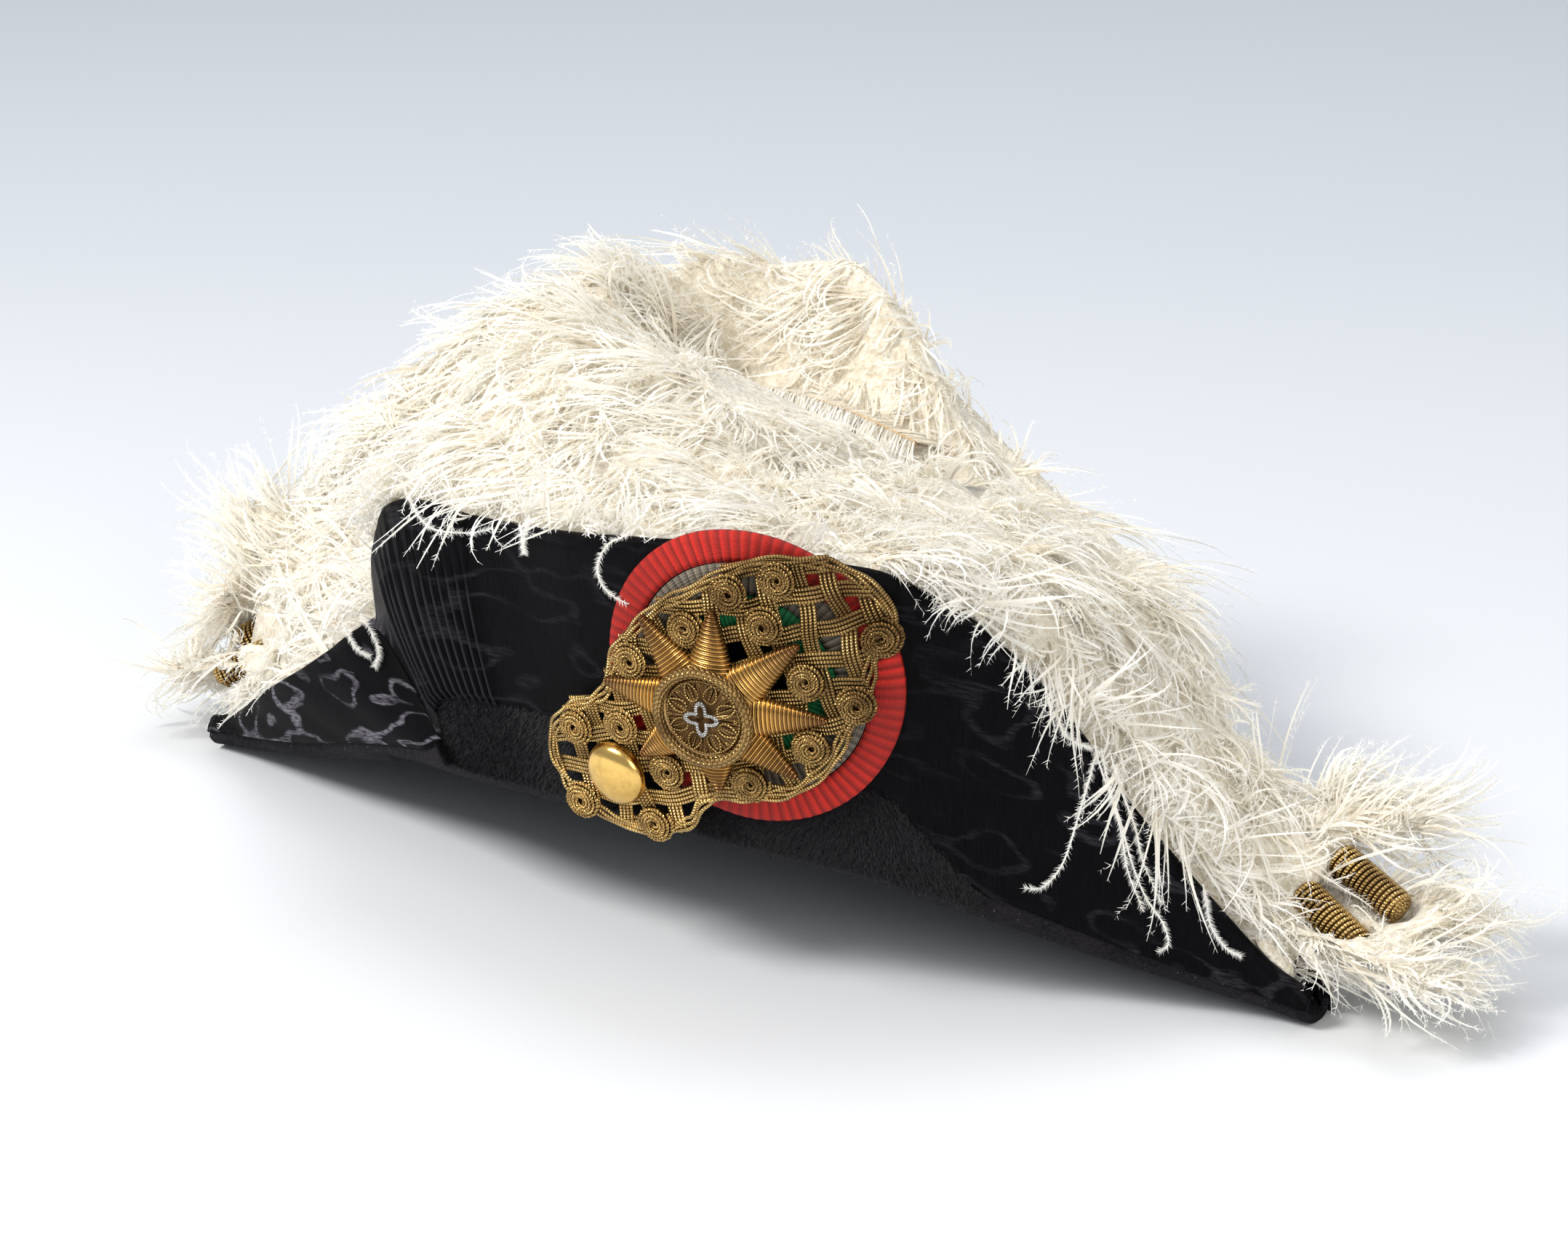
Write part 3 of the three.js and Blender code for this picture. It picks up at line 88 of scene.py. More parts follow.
# Rim, as shares: place along the hat, width, rise
RIM = np.array([
    (0.00, 1.000, 1.00), (0.10, 0.985, 0.99), (0.20, 0.940, 0.96), (0.30, 0.855, 0.91),
    (0.40, 0.730, 0.86), (0.50, 0.600, 0.74), (0.60, 0.475, 0.58), (0.70, 0.352, 0.40),
    (0.80, 0.225, 0.26), (0.90, 0.110, 0.14), (1.00, 0.042, 0.05)])
# Front flap, as shares: places of its foot and top along the hat, width of the rim, reach, height, swell
FRONT_EDGE = np.array([
    (-0.990, -0.990, 0.050, 0.034, 0.075, 0.00), (-0.930, -0.935, 0.090, 0.072, 0.100, 0.00),
    (-0.857, -0.867, 0.160, 0.146, 0.169, 0.01), (-0.762, -0.800, 0.270, 0.230, 0.235, 0.02),
    (-0.667, -0.733, 0.390, 0.301, 0.297, 0.03), (-0.571, -0.671, 0.510, 0.354, 0.360, 0.04),
    (-0.476, -0.619, 0.630, 0.394, 0.421, 0.04), (-0.381, -0.576, 0.755, 0.420, 0.479, 0.00),
    (-0.314, -0.548, 0.840, 0.425, 0.519, -0.04), (-0.276, -0.529, 0.880, 0.429, 0.546, -0.08),
    (-0.257, -0.505, 0.895, 0.513, 0.633, -0.02), (-0.238, -0.488, 0.910, 0.584, 0.719, 0.08),
    (-0.219, -0.462, 0.925, 0.646, 0.817, 0.16), (-0.200, -0.429, 0.940, 0.708, 0.883, 0.20),
    (-0.176, -0.371, 0.953, 0.761, 0.919, 0.20), (-0.148, -0.314, 0.967, 0.796, 0.925, 0.17),
    (-0.114, -0.238, 0.982, 0.827, 0.917, 0.13), (-0.057, -0.124, 0.995, 0.881, 0.925, 0.10),
    (0.038, 0.010, 1.000, 0.965, 0.946, 0.08), (0.143, 0.133, 0.995, 1.000, 0.973, 0.06),
    (0.248, 0.243, 0.950, 0.991, 0.994, 0.05), (0.352, 0.352, 0.872, 0.951, 1.000, 0.04),
    (0.452, 0.452, 0.765, 0.881, 1.000, 0.04), (0.552, 0.552, 0.615, 0.708, 0.923, 0.04),
    (0.657, 0.657, 0.450, 0.496, 0.728, 0.04), (0.762, 0.762, 0.290, 0.319, 0.468, 0.03),
    (0.867, 0.867, 0.140, 0.155, 0.245, 0.02), (0.930, 0.933, 0.080, 0.072, 0.128, 0.00),
    (0.990, 0.990, 0.050, 0.034, 0.075, 0.00)])
# Back flap, as shares: place of its foot along the hat, flare, height
BACK_EDGE = np.array([
    (-1.000, 0.00, 0.020), (-0.930, 0.10, 0.120), (-0.786, 0.40, 0.565), (-0.620, 0.65, 0.795),
    (-0.450, 0.85, 0.910), (-0.286, 1.00, 0.977), (-0.180, 1.00, 1.000), (-0.024, 1.00, 0.905),
    (0.120, 1.00, 0.775), (0.262, 1.00, 0.678), (0.405, 0.90, 0.596), (0.533, 0.80, 0.507),
    (0.652, 0.60, 0.379), (0.762, 0.40, 0.270), (0.880, 0.15, 0.106), (1.000, 0.00, 0.020)])
# Lower edge of the front flap's silk, as shares: place along the hat, place up the flap
SILK_LOW = np.array([
    (-1.00, 0.06), (-0.36, 0.06), (-0.29, 0.14), (-0.24, 0.28), (-0.10, 0.31), (0.30, 0.30),
    (0.45, 0.29), (0.52, 0.16), (0.58, 0.06), (1.00, 0.06)])


def curve(x, y):
    """Smooth line through points, without overshoot."""
    step = np.diff(y) / np.diff(x)
    slope = np.empty(len(x))
    slope[0], slope[-1] = step[0], step[-1]
    before, after = step[:-1], step[1:]
    total = before + after
    total[np.abs(total) < 1e-12] = 1.0
    slope[1:-1] = np.where(before * after <= 0, 0.0, 2 * before * after / total)

    def at(value):
        v = np.clip(np.asarray(value, float), x[0], x[-1])
        i = np.clip(np.searchsorted(x, v) - 1, 0, len(x) - 2)
        w = x[i + 1] - x[i]
        t = (v - x[i]) / w
        a = (1 + 2 * t) * (1 - t) ** 2
        b = t * (1 - t) ** 2
        return a * y[i] + b * w * slope[i] + (1 - a) * y[i + 1] - t * t * (1 - t) * w * slope[i + 1]

    return at


rim_width, rim_rise = curve(RIM[:, 0], RIM[:, 1]), curve(RIM[:, 0], RIM[:, 2])
front_top, front_rim, front_reach, front_height, front_swell = (
    curve(FRONT_EDGE[:, 0], FRONT_EDGE[:, k]) for k in (1, 2, 3, 4, 5))
back_flare, back_height = (curve(BACK_EDGE[:, 0], BACK_EDGE[:, k]) for k in (1, 2))
silk_low = curve(SILK_LOW[:, 0], SILK_LOW[:, 1])


def rim_z(s):
    """Height of the rim along the hat."""
    return RIM_ARCH * rim_rise(np.abs(s))


def pile(*columns):
    """Coordinates joined into points."""
    return np.stack(np.broadcast_arrays(*columns), axis=-1)


def front_flap(s, h):
    """Middle of the front flap's wall: s along the hat, h from 0 at the rim to 1 at the top edge."""
    width = RIM_WIDTH_FRONT * front_rim(s)
    bend = np.minimum(RIM_BEND, 0.5 * width)
    foot = pile(s * HALF, -width - bend, rim_z(s) + bend)
    top = pile(front_top(s) * HALF, -front_reach(s) * FRONT_REACH, front_height(s) * FRONT_TOP)
    h = np.asarray(h)[..., None]
    point = foot * (1 - h) + top * h
    point[..., 1] -= front_swell(s) * FRONT_FLARE * np.sin(np.pi * h[..., 0])
    return point


def back_flap(s, h):
    """Middle of the back flap's wall."""
    width = RIM_WIDTH_BACK * rim_width(np.abs(s))
    bend = np.minimum(RIM_BEND, 0.5 * width)
    foot = pile(s * HALF, width + bend, rim_z(s) + bend)
    rise = pile(0 * s, back_flare(s) * BACK_FLARE, back_height(s) * BACK_HEIGHT)
    return foot + rise * np.asarray(h)[..., None]


def crown(s, q):
    """Brim and crown between the folds of the rim: q runs from 0 at the front to 1 at the back."""
    share = np.abs(s) * HALF / (OPENING_LENGTH / 2)
    inside = share < 1
    ring = np.sqrt(np.clip(1 - share ** 2, 0, 1))
    dome = np.where(inside, CROWN_HEIGHT * np.sqrt(np.clip(1 - share ** 4, 0, 1)), 0)
    wide_front = RIM_WIDTH_FRONT * front_rim(s)
    wide_back = RIM_WIDTH_BACK * rim_width(np.abs(s))
    front = wide_front - 1.5 * np.minimum(RIM_BEND, 0.5 * wide_front)
    back = wide_back - 1.5 * np.minimum(RIM_BEND, 0.5 * wide_back)
    front = np.where(inside, np.minimum(front, ring * (RIM_WIDTH_FRONT - RIM_BEND)), front)
    back = np.where(inside, np.minimum(back, ring * (RIM_WIDTH_BACK - RIM_BEND)), back)
    across = -np.cos(np.pi * q)
    y = np.where(across < 0, across * front, across * back)
    return pile(s * HALF, y, rim_z(s) + dome * np.abs(np.sin(np.pi * q)) ** 0.6)


def unit(v):
    return v / np.maximum(np.linalg.norm(v, axis=-1, keepdims=True), 1e-9)


def flap_normal(flap, s, h, step=0.01):
    """Direction out of a flap's outer face."""
    along = flap(s + step, h) - flap(s - step, h)
    up = flap(s, h + step) - flap(s, h - step)
    out = unit(np.cross(along, up))
    return out if flap is front_flap else -out


def lean(points):
    """From the hat's own frame in millimetres to the model's frame in metres."""
    points = np.asarray(points, float)
    c, n = math.cos(LEAN), math.sin(LEAN)
    y = points[..., 1] * c + points[..., 2] * n
    z = -points[..., 1] * n + points[..., 2] * c
    return (np.stack([points[..., 0], y, z], axis=-1) + SHIFT) / 1000


def unlean(points):
    """From the model's frame in metres to the hat's own frame in millimetres."""
    points = np.asarray(points, float) * 1000 - SHIFT
    c, n = math.cos(LEAN), math.sin(LEAN)
    y = points[..., 1] * c - points[..., 2] * n
    z = points[..., 1] * n + points[..., 2] * c
    return np.stack([points[..., 0], y, z], axis=-1)


# Face of the front flap under the ornaments, drawn in a along the flap, b up it and c out of it
COCKADE_S, COCKADE_H = 0.293, 0.60
SOLVE_ROUNDS, SOLVE_STEP = 8, 1e-3
FACE_STEP = 2.0


def front_face(s, h):
    return front_flap(s, h) + flap_normal(front_flap, s, h) * FLAP_FACE


cockade_spot = front_face(COCKADE_S, COCKADE_H)
AXIS_OUT = flap_normal(front_flap, COCKADE_S, COCKADE_H)
AXIS_ALONG = unit(np.array([1.0, 0, 0]) - AXIS_OUT * AXIS_OUT[0])
AXIS_UP = np.cross(AXIS_OUT, AXIS_ALONG)


def drawn_place(s, h):
    """Place a, b in the drawing of a point of the face."""
    away = front_face(s, h) - cockade_spot
    return away @ AXIS_ALONG, away @ AXIS_UP


def face_at(a, b):
    """Point of the face at a place a, b of the drawing, found by Newton's method."""
    s = COCKADE_S + a / HALF
    h = COCKADE_H + b / FRONT_HEIGHT
    for _ in range(SOLVE_ROUNDS):
        pa, pb = drawn_place(s, h)
        sa, sb = drawn_place(s + SOLVE_STEP, h)
        ha, hb = drawn_place(s, h + SOLVE_STEP)
        j0, j1 = (sa - pa) / SOLVE_STEP, (ha - pa) / SOLVE_STEP
        j2, j3 = (sb - pb) / SOLVE_STEP, (hb - pb) / SOLVE_STEP
        det = j0 * j3 - j1 * j2
        s = s + (j3 * (a - pa) - j1 * (b - pb)) / det
        h = h + (j0 * (b - pb) - j2 * (a - pa)) / det
    return front_face(s, h)


FACE_A = np.arange(-80.0, 62.0, FACE_STEP)
FACE_B = np.arange(-64.0, 54.0, FACE_STEP)
FACE = face_at(*(g.astype(float) for g in np.meshgrid(FACE_A, FACE_B, indexing="ij")))


def laid(points):
    """From the drawing to the hat's own frame, laid over the bowed face of the flap."""
    a = np.clip((points[:, 0] - FACE_A[0]) / FACE_STEP, 0, len(FACE_A) - 1.001)
    b = np.clip((points[:, 1] - FACE_B[0]) / FACE_STEP, 0, len(FACE_B) - 1.001)
    i, j = a.astype(int), b.astype(int)
    u, v = (a - i)[:, None], (b - j)[:, None]
    flat = ((1 - u) * (1 - v) * FACE[i, j] + u * (1 - v) * FACE[i + 1, j]
            + (1 - u) * v * FACE[i, j + 1] + u * v * FACE[i + 1, j + 1])
    return flat + points[:, 2:3] * AXIS_OUT


# The camera is given in the hat's frame leaned by CAMERA_LEAN, and turned by the rest of the lean
CAMERA_LEAN = math.radians(15.5)
CAMERA_TURN, CAMERA_RISE, CAMERA_AWAY = math.radians(34.05), math.radians(19.0), 1400.0
CAMERA_AIM = Vector((22.13, 0.0, 85.83))
CAMERA_LENS, CAMERA_SENSOR = 104.95, 36.0
REST_TURN = Matrix.Rotation(CAMERA_LEAN - LEAN, 3, "X")
CAMERA_BACK = Vector((math.sin(CAMERA_TURN) * math.cos(CAMERA_RISE),
                      -math.cos(CAMERA_TURN) * math.cos(CAMERA_RISE), math.sin(CAMERA_RISE)))
CAMERA_RIGHT = Vector((math.cos(CAMERA_TURN), math.sin(CAMERA_TURN), 0))
CAMERA_UP = CAMERA_BACK.cross(CAMERA_RIGHT)
EYE = REST_TURN @ (CAMERA_AIM + CAMERA_BACK * CAMERA_AWAY) + Vector(SHIFT)
HAT_EYE = unlean(np.array(EYE) / 1000)


# Meshes. No point is lower than FLOOR_GAP, in metres
FLOOR_GAP = 0.0002


def new_mesh(name, points, quads=None, tris=None, smooth=True, lay=None, tone=None):
    """Mesh of quads and triangles, with where each point lies on its cloth or cord, and a tone."""
    quads = np.zeros((0, 4), int) if quads is None else np.asarray(quads, int).reshape(-1, 4)
    tris = np.zeros((0, 3), int) if tris is None else np.asarray(tris, int).reshape(-1, 3)
    points = np.array(points, float)
    points[:, 2] = np.maximum(points[:, 2], FLOOR_GAP)
    mesh = bpy.data.meshes.new(name)
    mesh.vertices.add(len(points))
    mesh.vertices.foreach_set("co", np.ascontiguousarray(points, np.float32).ravel())
    loops = np.concatenate([quads.ravel(), tris.ravel()]).astype(np.int32)
    mesh.loops.add(len(loops))
    mesh.loops.foreach_set("vertex_index", loops)
    starts = np.concatenate([4 * np.arange(len(quads)), 4 * len(quads) + 3 * np.arange(len(tris))])
    mesh.polygons.add(len(starts))
    mesh.polygons.foreach_set("loop_start", starts.astype(np.int32))
    mesh.polygons.foreach_set("use_smooth", np.full(len(starts), smooth))
    mesh.update(calc_edges=True)
    if lay is not None:
        data = mesh.attributes.new("lay", "FLOAT_VECTOR", "POINT").data
        data.foreach_set("vector", np.ascontiguousarray(lay, np.float32).ravel())
    if tone is not None:
        data = mesh.attributes.new("tone", "FLOAT", "POINT").data
        data.foreach_set("value", np.ascontiguousarray(tone, np.float32).ravel())
    return mesh


def new_piece(name, mesh, material, slot, *nodes):
    """Object that rides on the hat and stands for its nodes."""
    obj = bpy.data.objects.new(name, mesh)
    bpy.context.scene.collection.objects.link(obj)
    mesh.materials.clear()
    mesh.materials.append(material)
    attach(obj, "root")
    if nodes:
        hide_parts(*nodes)
    return obj


class Heap:
    """Many small forms joined into one mesh."""

    def __init__(self):
        self.points, self.quads, self.tris, self.lay, self.tone, self.count = [], [], [], [], [], 0

    def add(self, points, quads=None, tris=None, lay=None, tone=0.5):
        n = len(points)
        self.points.append(np.asarray(points, float))
        if quads is not None:
            self.quads.append(np.asarray(quads, int) + self.count)
        if tris is not None:
            self.tris.append(np.asarray(tris, int) + self.count)
        self.lay.append(np.zeros((n, 3)) if lay is None else lay)
        self.tone.append(np.broadcast_to(np.asarray(tone, float), (n,)))
        self.count += n

    def mesh(self, name, place=None, smooth=True):
        """One mesh; place takes the points from a drawing to the hat's own frame."""
        points = np.concatenate(self.points)
        points = lean(points if place is None else place(points))
        quads = np.concatenate(self.quads) if self.quads else None
        tris = np.concatenate(self.tris) if self.tris else None
        lay, tone = np.concatenate(self.lay), np.concatenate(self.tone)
        return new_mesh(name, points, quads, tris, smooth, lay, tone)

    def piece(self, name, slot, *nodes, place=None):
        """One object in the material of its slot."""
        new_piece(name, self.mesh(name, place), MATERIALS[slot], slot, *nodes)


def full_turn(count):
    """Angles evenly round a full turn."""
    return 2 * np.pi * np.arange(count) / count


def turned(a, b, rings, count):
    """Rings of points round a place a, b: the radius and the level of each."""
    around = full_turn(count)
    return np.concatenate([pile(a + r * np.cos(around), b + r * np.sin(around), z) for r, z in rings])


def blades(left, right, tip):
    """Points and triangles of thin blades, one for each tip."""
    return np.concatenate([left, right, tip]), np.arange(3 * len(tip)).reshape(3, -1).T


def grid_quads(rows, cols, joined=False):
    """Quads of a grid of points, whose last column may join its first."""
    i, j = np.meshgrid(np.arange(rows - 1), np.arange(cols if joined else cols - 1), indexing="ij")
    k = (j + 1) % cols
    corners = [i * cols + j, i * cols + k, (i + 1) * cols + k, (i + 1) * cols + j]
    return np.stack(corners, -1).reshape(-1, 4)


def tube(path, radius, sides, up=(0, 0, 1), closed=False):
    """Tube along a path; up is a direction, or one for each point, that the tube's sides start from."""
    path = np.asarray(path, float)
    n = len(path)
    if closed:
        tangent = unit(np.roll(path, -1, 0) - np.roll(path, 1, 0))
    else:
        tangent = unit(np.gradient(path, axis=0))
    up = np.broadcast_to(np.asarray(up, float), path.shape)
    side = unit(np.cross(tangent, up))
    up = np.cross(side, tangent)
    angle = full_turn(sides)
    radius = np.broadcast_to(np.asarray(radius, float), (n,))
    ring = (side[:, None] * np.cos(angle)[None, :, None] + up[:, None] * np.sin(angle)[None, :, None])
    points = path[:, None] + ring * radius[:, None, None]
    step = np.linalg.norm(np.diff(path, axis=0), axis=1)
    length = np.concatenate([[0], np.cumsum(step)])
    lay = np.stack(np.broadcast_arrays(length[:, None], angle[None] / (2 * np.pi), radius[:, None]), -1)
    quads = grid_quads(n, sides, True)
    if closed:
        last = (n - 1) * sides + np.arange(sides)
        first = np.arange(sides)
        quads = np.concatenate([quads, np.stack(
            [last, np.roll(last, -1), np.roll(first, -1), first], -1)])
    tris = None
    if not closed:
        fan = np.array([(0, k, k + 1) for k in range(1, sides - 1)])
        tris = np.concatenate([fan, (n - 1) * sides + fan[:, ::-1]])
    return points.reshape(-1, 3), quads, tris, lay.reshape(-1, 3)


def round_line(p0, p1, p2, p3, u):
    """Points between p1 and p2 on a smooth line through all four, at the shares u."""
    return 0.5 * (2 * p1 + (p2 - p0) * u + (2 * p0 - 5 * p1 + 4 * p2 - p3) * u ** 2
                  + (3 * p1 - p0 - 3 * p2 + p3) * u ** 3)


def slab(outer, inner):
    """Closed solid between two grids of points, the first of which faces out."""
    rows, cols = outer.shape[:2]
    points = np.concatenate([outer.reshape(-1, 3), inner.reshape(-1, 3)])
    face = grid_quads(rows, cols)
    back = face[:, ::-1] + rows * cols
    i = np.arange(rows - 1)
    j = np.arange(cols - 1)
    n = rows * cols

    def strip(a, b):
        return np.stack([b, a, a + n, b + n], -1)

    edges = [strip(i * cols, (i + 1) * cols)[:, ::-1],
             strip(i * cols + cols - 1, (i + 1) * cols + cols - 1),
             strip(j, j + 1), strip((rows - 1) * cols + j, (rows - 1) * cols + j + 1)[:, ::-1]]
    return points, np.concatenate([face, back, *edges])


def face_out(mesh):
    """Turns a closed mesh's faces outwards."""
    bm = bmesh.new()
    bm.from_mesh(mesh)
    bmesh.ops.recalc_face_normals(bm, faces=bm.faces)
    if bm.calc_volume(signed=True) < 0:
        bmesh.ops.reverse_faces(bm, faces=bm.faces)
    bm.to_mesh(mesh)
    bm.free()


# Materials
class Nodes:
    """A node material, made line by line. Inputs that are sockets are linked, others are set."""

    def __init__(self, name):
        self.material = bpy.data.materials.new(name)
        self.material.use_nodes = True
        self.tree = self.material.node_tree
        self.tree.nodes.clear()
        self.out = self.add("ShaderNodeOutputMaterial")

    def add(self, kind, inputs=None, **settings):
        node = self.tree.nodes.new(kind)
        for key, value in settings.items():
            setattr(node, key, value)
        for key, value in (inputs or {}).items():
            socket = node.inputs[key]
            if isinstance(value, bpy.types.NodeSocket):
                self.tree.links.new(value, socket)
            else:
                socket.default_value = value
        return node

    def math(self, operation, a, b=0.0, clamp=False):
        return self.add("ShaderNodeMath", {0: a, 1: b}, operation=operation, use_clamp=clamp).outputs[0]

    def times(self, a, b, clamp=False):
        return self.math("MULTIPLY", a, b, clamp=clamp)

    def plus(self, a, b):
        return self.math("ADD", a, b)

    def sine(self, a):
        return self.math("SINE", a)

    def mix(self, share, a, b):
        node = self.add("ShaderNodeMix", data_type="RGBA")
        for key, value in ((0, share), (6, a), (7, b)):
            if isinstance(value, bpy.types.NodeSocket):
                self.tree.links.new(value, node.inputs[key])
            else:
                node.inputs[key].default_value = value
        return node.outputs[2]

    def noise(self, scale, vector=None, detail=3.0, rough=0.55):
        if vector is None:
            vector = self.add("ShaderNodeTexCoord").outputs["Object"]
        inputs = {"Scale": scale, "Detail": detail, "Roughness": rough, "Vector": vector}
        return self.add("ShaderNodeTexNoise", inputs).outputs[0]

    def span(self, value, low, high, to_low=0.0, to_high=1.0):
        return self.add("ShaderNodeMapRange", {
            0: value, 1: low, 2: high, 3: to_low, 4: to_high}, clamp=True).outputs[0]

    def read(self, name, output="Fac"):
        return self.add("ShaderNodeAttribute", attribute_name=name).outputs[output]

    def lay(self):
        return self.add("ShaderNodeSeparateXYZ", {0: self.read("lay", "Vector")}).outputs

    def join(self, x, y, z=0.0):
        return self.add("ShaderNodeCombineXYZ", {0: x, 1: y, 2: z}).outputs[0]

    def scaled(self, u, v, along, across, place=0.0):
        """Point for a texture: u and v, each times its own scale, at a place of its own."""
        return self.join(self.times(u, along), self.times(v, across), place)

    def bump(self, height, distance, strength=1.0, normal=None):
        inputs = {"Height": height, "Distance": distance, "Strength": strength}
        if normal is not None:
            inputs["Normal"] = normal
        return self.add("ShaderNodeBump", inputs).outputs[0]

    def surface(self, **inputs):
        named = {key.replace("_", " "): value for key, value in inputs.items()}
        shader = self.add("ShaderNodeBsdfPrincipled", named)
        self.tree.links.new(shader.outputs[0], self.out.inputs[0])
        return self.material


def rgb(r, g, b):
    return (r, g, b, 1.0)


def plush_material():
    n = Nodes("felt_plush")
    fine = n.noise(900.0, detail=4.0)
    broad = n.noise(55.0)
    color = n.mix(n.span(fine, 0.35, 0.75), rgb(0.004, 0.0035, 0.0045), rgb(0.020, 0.018, 0.022))
    color = n.mix(n.span(broad, 0.4, 0.75, 0, 0.5), color, rgb(0.030, 0.026, 0.030))
    lint = n.span(n.noise(1300.0, detail=0.0), 0.80, 0.83)
    color = n.mix(n.times(lint, 0.5), color, rgb(0.25, 0.24, 0.22))
    normal = n.bump(fine, 0.0016)
    return n.surface(Base_Color=color, Roughness=0.92, Normal=normal, Sheen_Weight=0.05,
                     Sheen_Roughness=0.45, Sheen_Tint=rgb(0.45, 0.42, 0.48), Specular_IOR_Level=0.1)


def pile_material():
    n = Nodes("plush_pile")
    tone = n.read("tone")
    # The tone is 0 at each strand's root and up to 1 at its tip: painted shade among the roots and painted
    # glints on the tips.
    color = n.mix(tone, rgb(0.004, 0.0035, 0.004), rgb(0.035, 0.031, 0.036))
    color = n.mix(n.span(n.noise(60.0), 0.45, 0.7, 0, 0.5), color, rgb(0.012, 0.010, 0.013))
    return n.surface(Base_Color=color, Roughness=0.65, Specular_IOR_Level=0.3)


def silk_material():
    """Watered silk: the moire's contour rings and long streaks, painted into the colour as a painted
    highlight where they take the light between fine ribs.
    """
    n = Nodes("silk")
    u, v, streak = n.lay()
    warp = n.noise(1.0, n.scaled(u, v, 0.038, 0.062), 1.0, 0.4)
    second = n.noise(1.0, n.scaled(u, v, 0.11, 0.30, 4.0), 2.0, 0.5)
    rings = n.plus(n.times(warp, 26.0), n.times(second, 1.8))
    rings = n.plus(rings, n.times(v, 0.10))
    bright = n.span(n.sine(rings), 0.62, 1.0)
    patches = n.span(n.noise(1.0, n.scaled(u, v, 0.03, 0.05, 9.0)), 0.36, 0.58)
    ribs = n.noise(1.0, n.scaled(u, v, 0.24, 1.3, 1.0), 3.0, 0.7)
    # The moire is the silk's own pattern, but it is painted lighter as a painted highlight, only where the
    # streak mask says the light catches it.
    painted_moire_highlight = n.times(n.times(bright, patches), n.span(ribs, 0.36, 0.64, 0.0, 1.4))
    painted_moire_highlight = n.times(painted_moire_highlight, streak, clamp=True)
    grain = n.noise(1.0, n.scaled(u, v, 3.2, 0.12, 7.0), 1.0, 0.5)
    color = n.mix(n.span(grain, 0.35, 0.7), rgb(0.0014, 0.0012, 0.0016), rgb(0.0036, 0.0032, 0.0042))
    color = n.mix(painted_moire_highlight, color, rgb(0.160, 0.150, 0.175))
    # Pleat ridges painted lighter by the fold tone: a painted highlight on the crests of the folds.
    color = n.mix(n.span(n.read("tone"), 0.62, 0.98, 0, 0.75), color, rgb(0.032, 0.029, 0.036))
    rough = n.span(painted_moire_highlight, 0, 1, 0.50, 0.38)
    rib = n.sine(n.times(v, 2 * math.pi / 0.55))
    lift = n.plus(n.times(rib, 0.35), grain)
    normal = n.bump(lift, 0.00005, 0.6)
    normal = n.bump(n.noise(30.0), 0.0012, 0.35, normal)
    return n.surface(Base_Color=color, Roughness=rough, Normal=normal, Specular_IOR_Level=0.045)


def ribbon_material(name, dark, light, velvet, weave):
    n = Nodes(name)
    _, v, ridge = n.lay()
    # Lighter on the pleats' ridges and darker in their creases: painted light and painted shade.
    base = n.mix(n.span(ridge, 0.0, 1.0), dark, light)
    worn = n.span(n.noise(160.0, detail=4.0), 0.35, 0.75)
    color = n.mix(n.times(worn, 0.35), base, dark)
    thread = n.sine(n.times(v, 2 * math.pi / weave))
    across = n.noise(2600.0, detail=2.0)
    grain = n.plus(n.times(thread, 0.4), across)
    color = n.mix(n.span(grain, 0.2, 1.0, 0, 0.30), color, light)
    normal = n.bump(grain, 0.00018, 0.7)
    return n.surface(Base_Color=color, Roughness=0.62, Normal=normal, Sheen_Weight=velvet,
                     Sheen_Roughness=0.4, Sheen_Tint=light, Specular_IOR_Level=0.35)


def wire_material(name, dark, light, shine, twist=0.9, starts=1.0, metallic=0.8):
    """Cord or coil wound with wire. lay holds the length in millimetres and the share of a turn round it."""
    n = Nodes(name)
    length, turn, _ = n.lay()
    tone = n.read("tone")
    phase = n.plus(n.times(length, 1.0 / twist), n.times(turn, starts))
    thread = n.sine(n.times(phase, 2 * math.pi))
    dirt = n.span(n.noise(110.0, detail=5.0), 0.40, 0.66)
    color = n.mix(n.times(tone, n.span(dirt, 0, 1, 1.0, 0.36)), dark, light)
    # Between the turns of wire the colour goes to the dark one: painted shade in the grooves.
    color = n.mix(n.span(thread, -1.0, 0.5, 0.72, 0.0), color, dark)
    rough = n.span(dirt, 0, 1, shine, shine + 0.25)
    normal = n.bump(thread, 0.00016, 0.8)
    return n.surface(Base_Color=color, Roughness=rough, Metallic=metallic, Normal=normal)


def button_material():
    n = Nodes("gold_bright")
    haze = n.noise(260.0, detail=5.0)
    color = n.mix(n.span(haze, 0.45, 0.75, 0, 0.6), rgb(0.86, 0.56, 0.17), rgb(0.50, 0.29, 0.08))
    u, v, _ = n.lay()
    scratch = n.noise(1.0, n.join(n.times(u, 9.0), v), 4.0)
    normal = n.bump(scratch, 0.00003, 0.5)
    rough = n.span(haze, 0.3, 0.8, 0.13, 0.34)
    return n.surface(Base_Color=color, Roughness=rough, Metallic=1.0, Normal=normal)


